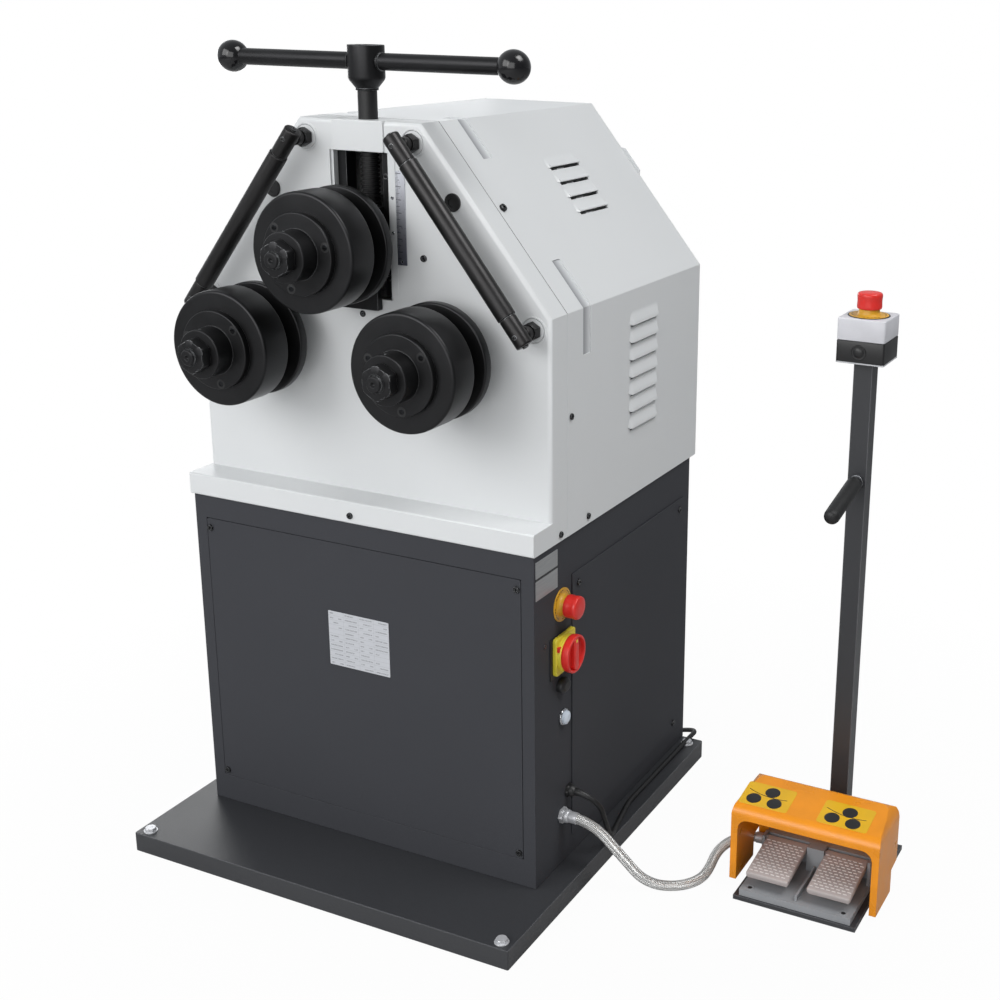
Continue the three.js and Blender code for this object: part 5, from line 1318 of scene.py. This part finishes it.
def make_roll(side):
    """One roll on its shaft, from the nut in front to the tail inside the head."""
    low, high = limits(f"{side}_front_roll")
    x = (low.x + high.x) / 2
    z = (low.z + high.z) / 2
    radius = (high.z - low.z) / 2
    body = BODY_OF[f"{side}_shaft"]
    steel = blackened(f"{side}_roll_steel", at(x, 0, z))
    roll_front, roll_rear = low.y, high.y
    disc_front, disc_rear = depth_of(f"{side}_rear_disc")
    collar_front, flange_rear = depth_of(f"{side}_flange")
    flange_front = flange_rear - 11
    shaft_front, tail = depth_of(f"{side}_shaft")
    nut_front, nut_rear = depth_of(f"{side}_nut")
    flats = 48
    bore = 25.2
    shaft_radius = 24.7
    shaft_bore = 13.1
    screw_circle = 53.5

    def put(bm, name, *replaces):
        finished(moved(bm, x, 0, z), f"{side}_{name}", "steel", body, replaces, steel)

    put(turned([
        (bore, roll_front), (radius, roll_front, 5), (radius, roll_rear, 2), (bore, roll_rear)],
        "Y", 96, True), "bending_roll", f"{side}_front_roll")
    put(turned([
        (bore, disc_front), (radius, disc_front, 3.2), (radius, disc_rear, 3.2),
        (bore, disc_rear)], "Y", 96, True), "side_disc", f"{side}_rear_disc")
    put(turned([
        (shaft_bore, collar_front), (38, collar_front, 2), (38, flange_front, 1.2),
        (62, flange_front, 2.2), (62, flange_rear), (bore, flange_rear),
        (bore, collar_front + 6), (shaft_bore, collar_front + 6)], "Y", 80, True),
        "clamp_flange", f"{side}_flange")
    put(stacked([
        (nut_rear, 22.4), (nut_rear - 1, flats, "hex", 26.6), (nut_rear - 2.4, flats, "hex"),
        (nut_front + 3.4, flats, "hex"), (nut_front + 1.2, flats, "hex", 25.8),
        (nut_front, flats, "hex", 23.4), (nut_front, 13.9), (nut_front + 1.4, 12.9)], "Y", 72),
        "hex_nut", f"{side}_nut")
    put(turned([
        (0, shaft_front + 5), (2.2, shaft_front + 2.4), (4.4, shaft_front, 0.4),
        (10.8, shaft_front, 0.8), (12.5, shaft_front + 2, 0.8), (12.5, shaft_front + 3.2),
        (11.7, shaft_front + 4.2), (12.5, shaft_front + 5.2), (11.7, shaft_front + 6.4),
        (12.5, shaft_front + 7.4), (12.5, collar_front + 6.3), (shaft_radius, collar_front + 6.3),
        (shaft_radius, roll_rear + 0.3), (40, roll_rear + 0.3, 1.2), (40, disc_front - 0.3, 1.2),
        (shaft_radius, disc_front - 0.3), (shaft_radius, disc_rear + 0.3),
        (34, disc_rear + 0.3, 1.5), (34, -14.7, 1), (24, -14.7), (24, tail, 1.5), (0, tail)],
        "Y", 72), "roll_shaft", f"{side}_shaft")
    screws = []
    well_shades = []
    for angle in FLANGE_SCREWS[side]:
        turn = math.radians(angle)
        spot = (screw_circle * math.cos(turn), flange_front, screw_circle * math.sin(turn))
        screws.append(socket_screw(spot, "Y", -1, 4.4, 0.6, 4.4))
        # Black discs round the screws stand in for the dark of their counterbores: painted shade.
        well_shade = turned([(0, 0.4), (7.6, 0.4), (7.6, -0.12, 0.1), (0, -0.12)], "Y", 40)
        well_shades.append(moved(well_shade, *spot))
    finished(
        moved(joined(*screws), x, 0, z), f"{side}_flange_screws", "machined", body,
        coating=SCREW_STEEL)
    finished(moved(joined(*well_shades), x, 0, z), f"{side}_screw_well_shade", "black", body)
    put(socket_screw((0, collar_front + 7, 38.0), "Z", 1, 2.4, 0.8, 2.0, 18), "collar_screw")


# Guide bars

def make_guide_bar(label):
    """A slanting bar held off the front by two studs, made for the right side."""
    side = SIDES[label]
    length = 370.0
    start = Vector((88.6, -43.0, 1234.4))
    foot_x = 315.2
    lean = math.asin((foot_x - start.x) / length)
    stud_inset = 17
    studs = [
        (start.x + along * math.sin(lean), start.z - along * math.cos(lean))
        for along in (stud_inset, length - stud_inset)]
    steel = blackened(f"guide_bar_{label}_steel", at(0, 0, 0), "Z", 900, shade(50, 49, 49))
    bar = turned([
        (0, 0), (13.5, 0, 3), (13.5, 47, 0.8), (12.6, 47.7), (12.6, 48.6), (15, 49.4, 0.8),
        (15, length - 49.4, 0.8), (12.6, length - 48.6), (12.6, length - 47.7),
        (13.5, length - 47, 0.8), (13.5, length, 3), (0, length)], "Z", 56)
    nubs = []
    for place, out in ((0, -1), (length, 1)):
        nub = stacked([
            (0, 5), (out * 2.4, 5), (out * 3, 4.4), (out * 3, 2.9), (out * 1.6, 4.4, "hex")],
            "Z", 24)
        nubs.append(moved(nub, 0, 0, place))
        pip = stacked([(0, 3.2), (-5.2, 3.2), (-5.8, 2.6)], "Y", 24)
        nubs.append(moved(pip, 0, -9.6, place - out * stud_inset))
    bar = joined(bar, *nubs)
    turned_by(bar, y=180 - math.degrees(lean))
    parts = [moved(bar, *start)]
    for x, z in studs:
        rod = turned([(0, -40), (9, -40, 1), (9, 18), (0, 18)], "Y", 40)
        collar = turned([(8, -31), (11.4, -30, 2), (11.4, -18, 1.5), (8, -17)], "Y", 40, True)
        nut = stacked([
            (-2, 26, "hex"), (-13.4, 26, "hex"), (-15, 26, "hex", 13.6), (-16, 26, "hex", 12.4),
            (-16, 9.6)], "Y")
        parts.append(moved(joined(rod, collar, nut), x, 0, z))
    whole = mirrored(joined(*parts), side)
    finished(whole, f"tie_bar_{label}", "steel", "machine", [f"guide_bar_{label}"], steel)
    for i, (x, z) in enumerate(studs, 1):
        ring = turned(
            [(19.4, 0.3), (19.4, -0.9, 0.4), (22.2, -0.9, 0.6), (22.2, 0.3)], "Y", 56, True)
        pad = turned(
            [(0, 1), (18.3, 1), (18.3, -0.4, 0.4), (9.4, -0.4), (9.4, 0.6), (0, 0.6)], "Y", 56)
        finished(moved(ring, side * x, 0, z), f"stud_ring_{label}_{i}", "head")
        finished(moved(pad, side * x, 0, z), f"stud_pad_{label}_{i}", "head")


# Controls on the cabinet's right side

def stop_head(radius, foot, length):
    """Mushroom head with a slight waist, hollow so that it goes down over its cone."""
    bore = radius - 2.6
    roof = foot + 5.6
    return [
        (0, roof), (bore, roof), (bore, foot), (radius * 0.95, foot, 1.0),
        (radius * 0.98, foot + 3.4, 1.5), (radius * 0.95, foot + length * 0.5, 4),
        (radius, foot + length - 5.5, 3.5), (radius - 1.2, foot + length - 1.6, 2.4),
        (radius * 0.55, foot + length, 4), (0, foot + length),
    ]


def ring_marks(axis, radius, face):
    """Short dark strokes round a stop button's disc, four groups of five."""
    places = 28
    group = 7
    drawn = 5
    strokes = []
    for i in range(places):
        if i % group >= drawn:
            continue
        stroke = brick((radius - 0.7, -1.9, face - 0.1), (radius + 0.7, 1.9, face + 0.12), 0)
        strokes.append(turned_by(stroke, z=i * 360 / places))
    marks = joined(*strokes)
    bmesh.ops.transform(marks, matrix=AXIS_TURN[axis], verts=marks.verts)
    return marks


def make_controls():
    side = limits("cabinet_shell")[1].x
    middle = middle_of("stop_collar")
    place = (side, middle.y, middle.z)
    collar_end = limits("stop_collar")[1].x - side
    disc = turned([(16, 0.05), (16, 1.6), (28, 1.6, 0.6), (28, 0.05)], "X", 64, True)
    finished(moved(disc, *place), "stop_disc", "yellow", coating=STOP_YELLOW)
    finished(moved(ring_marks("X", 24.2, 1.6), *place), "stop_disc_marks", "black")
    cone = turned([
        (11.4, 1.6), (19.5, 1.6), (16.4, 4.6, 2), (15.8, collar_end, 1), (11.4, collar_end)],
        "X", 56, True)
    finished(
        moved(cone, *place), "stop_cone", "yellow", "machine", ["stop_collar"], STOP_YELLOW)
    foot = collar_end + 0.4
    end = limits("stop_button")[1].x - side
    head = turned(stop_head(19.5, foot, end - foot), "X", 64)
    stem = turned([(0, 6), (10.8, 6), (10.8, foot + 6.2), (0, foot + 6.2)], "X", 40)
    finished(
        moved(joined(head, stem), *place), "stop_head", "red", BODY_OF["stop_button"],
        ["stop_button"])
    make_switch(side)
    make_lamp(side)
    cap = turned([(0, 0), (14, 0), (14, 9, 3.5), (9, 13, 2), (0, 13)], "X", 48)
    bmesh.ops.scale(cap, vec=(1, 1.16, 0.9), verts=cap.verts)
    finished(moved(cap, side, 34.8, 366), "blanking_cap", "black")
    finished(socket_screw((side, -17.6, 453.5), "X", 1, 3.4, 1.6, 2.8, 20), "side_screw", "steel")


def make_switch(side):
    """The main switch: a plate with a round boss, and a dial with its grip sunk in it."""
    middle = middle_of("switch_plate")
    place = (side, middle.y, middle.z)
    backing = brick((0.05, -39, -38.5), (2.2, 33, 33), 0.8, 2)
    finished(moved(backing, *place), "switch_backing", "black")
    plate = slab(box_outline(65, 65, 7), "X", 1.6, 9, 1.6, 3)
    boss = turned([(8.6, 8), (31.4, 8), (31, 11, 1.5), (30.2, 15.4, 1), (8.6, 15.4)], "X", 72, True)
    finished(
        moved(joined(plate, boss), *place), "switch_cover", "yellow", "machine", ["switch_plate"])
    latch = slab(box_outline(7, 9, 1), "X", 8.5, 13.2, 0.6, 2)
    finished(moved(latch, side, 9.6, 439.7), "switch_latch", "red")
    base = 15.8
    dish = 21.5
    rim = 28.4
    dial = turned([
        (0, base), (30.6, base, 0.8), (31.5, base + 3, 1), (31.5, rim - 1, 1), (30.6, rim, 0.8),
        (27.2, rim, 0.8), (26.4, dish, 1), (0, dish)], "X", 80)
    grip = slab(box_outline(14, 54.4, 6.6), "X", dish - 1, rim + 0.4, 1.8, 3)
    stem = turned([(0, 14), (7.8, 14), (7.8, base + 1), (0, base + 1)], "X", 32)
    body = BODY_OF["switch_knob"]
    bm = moved(joined(dial, grip, stem), *place)
    finished(bm, "switch_dial", "red", body, ["switch_knob"])
    mark = slab(box_outline(4.6, 5, 0.8), "X", rim, rim + 0.8, 0.3, 1)
    finished(moved(moved(mark, *place), z=22.6), "dial_mark", "yellow", body)


def make_lamp(side):
    middle = middle_of("pilot_lamp")
    place = (side, middle.y, middle.z)
    bezel = turned([
        (11, 0), (14.5, 0), (14.5, 3.2, 1.2), (12.6, 4.6, 0.8), (11, 4.4)], "X", 56, True)
    finished(moved(bezel, *place), "lamp_bezel", "plated")
    rings = [(0.4, 11.6), (4.4, 11.6), (8.6, 11.2), (10.2, 8.6), (11.4, 5.4), (11.4, 2.4)]
    lens = moved(stacked(rings, "X", 12), *place)
    finished(lens, "lamp_lens", "lens", "machine", ["pilot_lamp"], sharp=12)


def make_entries():
    """The power cord's gland with its tapered relief, and the braided hose's fittings."""
    side = limits("cabinet_shell")[1].x
    nut = stacked([
        (0, 21, "hex"), (4, 21, "hex"), (5.4, 21, "hex", 10.6), (5.4, 9.6), (6.4, 9.6),
        (6.4, 10.2), (10.4, 9.8), (12.4, 8.4), (14.8, 6.8), (14.8, 5)], "X")
    finished(
        moved(nut, side, *CORD_ROUTE[0][1:]), "cord_gland", "black", "machine", ["cable_gland"])
    spacing = 2.5
    path = smooth_path(CORD_ROUTE[:5], spacing)[:12]
    wide = 6.6
    taper = 1.7
    relief = sleeve(path, [wide - taper * i / (len(path) - 1) for i in range(len(path))], 20)
    finished(relief, "cord_relief", "black")
    fitting = stacked([
        (0, 24, "hex"), (5.6, 24, "hex"), (7, 24, "hex", 12.2), (7, 10), (8, 10),
        (8, 11.4), (10, 11.4), (13.6, 11), (14.8, 10.2), (14.8, 8.6)], "X")
    moved(fitting, side, *HOSE_ROUTE[0][1:])
    finished(fitting, "hose_nut", "plated", "machine", ["hose_fitting"], ZINC)
    ends = smooth_path(HOSE_ROUTE, spacing)
    for name, points in (("near", ends[:8]), ("far", ends[-7:])):
        finished(sleeve(points, 9.7, 28), f"hose_ferrule_{name}", "plated", coating=ZINC)


# Foot station

STATION_X = 715.5
POST_Y = 355.5
GRIP_Z = 683


def on_post(bm, z=0.0):
    """Moves a piece to the post's axis."""
    return moved(bm, STATION_X, POST_Y, z)


def make_station():
    dressed("station_stand", "stand", "tray", 1.2)
    grip = turned([
        (0, 0), (10.6, 0, 2), (12.6, -3, 1), (13, -6), (12.6, -9, 1), (13, -12), (13, -108),
        (12.6, -111, 1), (13, -114), (12, -120, 4), (8, -124.4, 4), (0, -126)], "Y", 56)
    turned_by(grip, x=11)
    moved(grip, 0, -25.8)
    neck = turned([(0, -30), (8, -30), (8, -13), (0, -13)], "Y", 32)
    ring = turned([(7.6, -19.4), (11.4, -19.4, 1), (11.4, -15.7, 0.8), (7.6, -15.7)], "Y", 40, True)
    finished(on_post(ring, GRIP_Z), "grip_ring", "machined")
    bm = on_post(joined(grip, neck), GRIP_Z)
    finished(bm, "post_grip", "rubber", "machine", ["station_grip"])
    make_stop_box()
    make_pedals()
    make_guard()


def make_stop_box():
    low, high = limits("stop_box_base")
    width = 79
    base = slab(box_outline(width, width, 4), "Z", low.z, high.z, 0.8, 2)
    joint = slab(box_outline(width - 3, width - 3, 3), "Z", high.z - 0.6, high.z + 1, 0, 1)
    bm = on_post(joined(base, joint))
    finished(bm, "stop_box_foot", "black", "machine", ["stop_box_base"])
    cap = turned([
        (0, -3.2), (5, -2.6, 2), (8.4, -0.6), (8.8, -0.2), (11, -0.2, 0.3), (11.6, -1, 0.4),
        (12.6, 0), (0, 0.5)], "Y", 48)
    cap_place = (STATION_X - 2, POST_Y - width / 2, low.z + 17)
    finished(moved(cap, *cap_place), "knockout_cap", "black")
    edge = slab(
        box_outline(width + 0.4, width + 0.4, 4), "Z", low.z - 2.2, low.z + 0.1, 0.4, 1)
    finished(on_post(edge), "stop_box_edge", "plated", coating=ZINC)
    low, high = limits("stop_box_lid")
    top = low.z + 36
    lid = slab(box_outline(width, width, 4.5), "Z", low.z + 0.3, top, 1.8, 3)
    cone = turned([
        (11.4, top - 1), (19.5, top + 1), (17.2, top + 4.5, 2), (16.6, high.z, 1),
        (11.4, high.z)], "Z", 56, True)
    finished(on_post(lid), "stop_box_cover", "white", "machine", ["stop_box_lid"])
    finished(on_post(cone), "remote_cone", "yellow", coating=STOP_YELLOW)
    rim = turned(
        [(12, top - 0.4), (34, top - 0.4), (34, top + 0.9, 0.4), (12, top + 0.9)], "Z", 72, True)
    finished(on_post(rim), "remote_disc_rim", "black")
    disc = turned(
        [(12, top + 0.4), (31.6, top + 0.4), (31.6, top + 1.5, 0.4), (12, top + 1.5)],
        "Z", 72, True)
    finished(on_post(disc), "remote_disc", "yellow", coating=STOP_YELLOW)
    finished(on_post(ring_marks("Z", 27.0, top + 1.5)), "remote_disc_marks", "black")
    foot = high.z + 0.4
    head = turned(
        stop_head(20.5, foot, limits("remote_stop_button")[1].z - foot), "Z", 64)
    stem = turned(
        [(0, top + 5.6), (10.8, top + 5.6), (10.8, foot + 6.2), (0, foot + 6.2)], "Z", 40)
    finished(
        on_post(joined(head, stem)), "remote_head", "red", BODY_OF["remote_stop_button"],
        ["remote_stop_button"])


def make_pedals():
    dressed("pedal_base", "pedal_casting", "casting", 1.6, 3)
    ridge = slab([
        (130, 19.6), (129, 21.6, 2), (142, 23.4, 6), (176, 27, 10), (222, 33), (222, 19.6)],
        "X", -1.8, 1.8, 0.8, 2)
    finished(moved(ridge, STATION_X), "casting_ridge", "casting")
    hole_y = 134
    for i, hole_x in enumerate((STATION_X - 81, STATION_X + 81), 1):
        eyelet = turned([
            (0, -0.2), (3.8, -0.2), (3.8, 0.25), (5.6, 0.25, 0.2), (6.6, 0.7, 0.4), (8, 0.0),
            (8, -0.6), (0, -0.6)], "Z", 40)
        finished(moved(eyelet, hole_x, hole_y, 20.3), f"casting_eyelet_{i}", "casting")
        dot = turned([(0, 0), (3.9, 0), (3.9, 0.2), (0, 0.2)], "Z", 24)
        finished(moved(dot, hole_x, hole_y, 20.2), f"eyelet_shadow_{i}", "black")
    for label in SIDES:
        make_treadle(label)


def make_treadle(label):
    """One treadle, built level and then tipped up to the rear about its hinge pin."""
    low, high = limits(f"treadle_{label}")
    middle = (low.x + high.x) / 2
    hinge = (middle, 236.0, 55.8)
    tip = 7.4
    half = 37.0
    front, rear = 134.5, 240.5
    foot, top = 51.3, 60.3
    plate = brick((middle - half, front, foot), (middle + half, rear, top), 2.6, 3)
    pin = turned([(0, low.x), (4, low.x, 0.6), (4, high.x, 0.6), (0, high.x)], "X", 28)
    moved(pin, 0, hinge[1], hinge[2])
    pad = turned([(0, -7), (9, -7, 1.5), (10, -5, 1), (10, 1), (0, 1)], "Z", 40)
    moved(pad, middle, front + 28, foot)
    lip = brick(
        (middle - half + 2, front + 1.4, foot - 2.2), (middle + half - 2, front + 8, foot + 1), 1)
    body = BODY_OF[f"treadle_{label}"]
    whole = turned_by(joined(plate, pin, pad, lip), x=tip, centre=hinge)
    finished(whole, f"treadle_plate_{label}", "treadle", body, [f"treadle_{label}"])
    rows = 13
    columns = 7
    row_pitch = 6.9
    column_pitch = (2 * half - 17) / (columns - 1)
    stagger = 2.6
    bars = []
    for row in range(rows):
        for column in range(columns):
            x = middle - half + 8.5 + column * column_pitch
            x += stagger if row % 2 else -stagger
            y = front + 9 + row * row_pitch
            if abs(x - middle) > half - 5:
                continue
            bars.append(brick(
                (x - 3.2, y - 0.9, top - 0.5), (x + 3.2, y + 0.9, top + 0.75), 0.35, 1))
    grips = turned_by(joined(*bars), x=tip, centre=hinge)
    finished(grips, f"treadle_grip_{label}", "treadle", body, coating=TREAD_BAR)


GUARD_SLOPE = math.atan2(12, 80)
GUARD_FOOT = (174.0, 150.0)


def on_guard(x, y, lift=0.0):
    """A place on the guard's sloping roof."""
    z = GUARD_FOOT[1] + (y - GUARD_FOOT[0]) * math.tan(GUARD_SLOPE)
    return x, y - lift * math.sin(GUARD_SLOPE), z + lift * math.cos(GUARD_SLOPE)


PATCH_SIZE = (86, 60)
PATCHES = {
    "left": ((635, 202), ((639.4, 214), (614.4, 190), (651.5, 188))),
    "right": ((772, 202), ((775.4, 212), (751.5, 190), (787.9, 187))),
}


def make_guard():
    low = limits("pedal_guard")[0]
    leg_rear = low.y + 64
    shoulder = low.z + 58
    shoulder_run = 48
    shoulder_slope = 30 / shoulder_run
    close = 0.6
    deeper = 18
    arch = low.z + 41
    arch_slope = 0.1

    def deeper_legs(bm):
        """Deepens the legs and lowers the arch behind them, in the side walls' own planes."""
        for vert in bm.verts:
            along = vert.co.y - leg_rear
            if not -close < along < shoulder_run + close:
                continue
            above = vert.co.z - shoulder - along * shoulder_slope
            if along < close and above < close:
                vert.co.y += deeper
            if abs(above) < close:
                vert.co.z = arch + max(0.0, along - deeper) * arch_slope

    dressed("pedal_guard", "guard_shell", "orange", 2.2, 3, 38, sharp=50, shape=deeper_legs)
    tilt = math.degrees(GUARD_SLOPE)
    coating = moulded("guard_patch", shade(226, 176, 22), 0.3)
    for label, ((x, y), discs) in PATCHES.items():
        patch = slab(box_outline(*PATCH_SIZE, 6), "Z", -0.4, 0.4, 0.25, 1)
        turned_by(patch, x=tilt)
        moved(patch, *on_guard(x, y))
        finished(patch, f"guard_patch_{label}", "yellow", coating=coating)
        for i, place in enumerate(discs, 1):
            disc = turned([(0, 0), (12.6, 0), (12.6, 1.1, 0.5), (0, 1.1)], "Z", 48)
            turned_by(disc, x=tilt)
            finished(moved(disc, *on_guard(*place)), f"guard_dot_{label}_{i}", "black")
        curve = [
            Vector(on_guard(x - 36 + 70 * t, y + 4 - 9 * t + 6 * (2 * t - 1) ** 2, 0.5))
            for t in [i / 10 for i in range(11)]]
        finished(sleeve(curve, 0.55, 8), f"guard_curve_{label}", "black")


# Stage and light

WHITE = (1, 1, 1, 1)


def set_stage():
    """A world that shows white to the camera and lights softly from one side, and the floor."""
    scene = bpy.context.scene
    scene.view_settings.view_transform = "Standard"
    world = bpy.data.worlds.new("studio")
    scene.world = world
    world.use_nodes = True
    sky = Graph(world.node_tree)
    sky.tree.nodes.clear()
    _, (x, y, _) = sky.axes()
    bright = 0.7
    dim = 0.12
    strength = sky.span(x * 0.8 - y * 0.3, -0.9, 0.9, bright, dim)
    ambient = sky.node("ShaderNodeBackground", {}, {
        "Color": (0.94, 0.97, 1.0, 1), "Strength": strength})
    white = sky.node("ShaderNodeBackground", {}, {"Color": WHITE, "Strength": 1.0})
    path = sky.node("ShaderNodeLightPath")
    seen = sky.maths("MAXIMUM", path.outputs["Is Camera Ray"], path.outputs["Is Transmission Ray"])
    mixed = sky.node("ShaderNodeMixShader", {}, {
        0: seen, 1: ambient.outputs[0], 2: white.outputs[0]})
    sky.node("ShaderNodeOutputWorld", {}, {"Surface": mixed.outputs[0]})
    make_floor()


def make_floor():
    """Pale paper that keeps the object's shadow close by and turns white farther off."""
    paper = Coating("floor_paper", (0.5, 0.5, 0.5), 0.9)
    grain = paper.noise(40.0, 3.0)
    paper.tint(grain, (0.48, 0.48, 0.48), (0.52, 0.52, 0.52))
    glow = paper.node("ShaderNodeEmission", {}, {"Color": WHITE, "Strength": 1.0})
    rays = paper.node("ShaderNodeLightPath")
    _, (x, y, _) = paper.axes()
    near = 0.5
    far = 1.4
    near_glow = 0.965
    away = (x * x + y * y) ** 0.5
    seen = Signal(paper, rays.outputs["Is Camera Ray"])
    share = seen * paper.span(away, near, far, near_glow, 1.0)
    blended = paper.node("ShaderNodeMixShader", {}, {
        0: share, 1: paper.shader.outputs[0], 2: glow.outputs[0]})
    paper.connect(paper.tree.nodes["Material Output"].inputs["Surface"], blended.outputs[0])
    half_width = 12
    drop = 0.0004
    bm = bmesh.new()
    bmesh.ops.create_grid(bm, x_segments=1, y_segments=1, size=half_width)
    bmesh.ops.translate(bm, vec=(0, 0, -drop), verts=bm.verts)
    mesh = bpy.data.meshes.new("floor")
    bm.to_mesh(mesh)
    bm.free()
    mesh.materials.append(paper.material)
    floor = bpy.data.objects.new("floor", mesh)
    bpy.context.scene.collection.objects.link(floor)
    return floor


def add_light(name, place, target, size, power, spread=180):
    data = bpy.data.lights.new(name, "AREA")
    data.spread = math.radians(spread)
    data.shape = "RECTANGLE"
    data.size, data.size_y = size
    data.energy = power
    lamp = bpy.data.objects.new(name, data)
    bpy.context.scene.collection.objects.link(lamp)
    lamp.visible_camera = False
    place = Vector(place)
    aim = (Vector(target) - place).to_track_quat("-Z", "Y")
    lamp.matrix_world = Matrix.Translation(place) @ aim.to_matrix().to_4x4()


def set_lights():
    """Places and sizes in metres, powers in watts, and the narrow lamp's spread in degrees."""
    aim = (0.0, 0.0, 0.7)
    add_light("key", (-2.1, -3.9, 3.0), aim, (3.6, 2.8), 108)
    add_light("fill", (0.8, -4.8, 2.3), aim, (4.4, 3.2), 104)
    add_light("side", (2.2, 0.1, 4.3), (0.25, 0.1, 1.25), (2.2, 2.2), 15.5, 60)
    add_light("tray_glow", (-1.9, 1.5, 1.05), (-0.35, -0.1, 0.0), (1.5, 0.9), 13)


set_camera()
make_cords()
set_stage()
set_lights()
make_stand()
make_head()
make_slot()
make_handle()
for roll_side in ("left", "right", "top"):
    make_roll(roll_side)
for bar_side in SIDES:
    make_guide_bar(bar_side)
make_controls()
make_entries()
make_station()

# CAD nodes that keep their own shape get their finish
FINISH_OF_SLOT = {slot: finish for finish, slot in SLOT.items()}
SLOT_OF = {part["node"]: part["material_slot"] for part in frame["record"]["subparts"]}
for node_name, node_object in frame["nodes"].items():
    finish_name = FINISH_OF_SLOT[SLOT_OF[node_name]]
    node_object.data.materials.clear()
    node_object.data.materials.append(FINISH[finish_name].material)
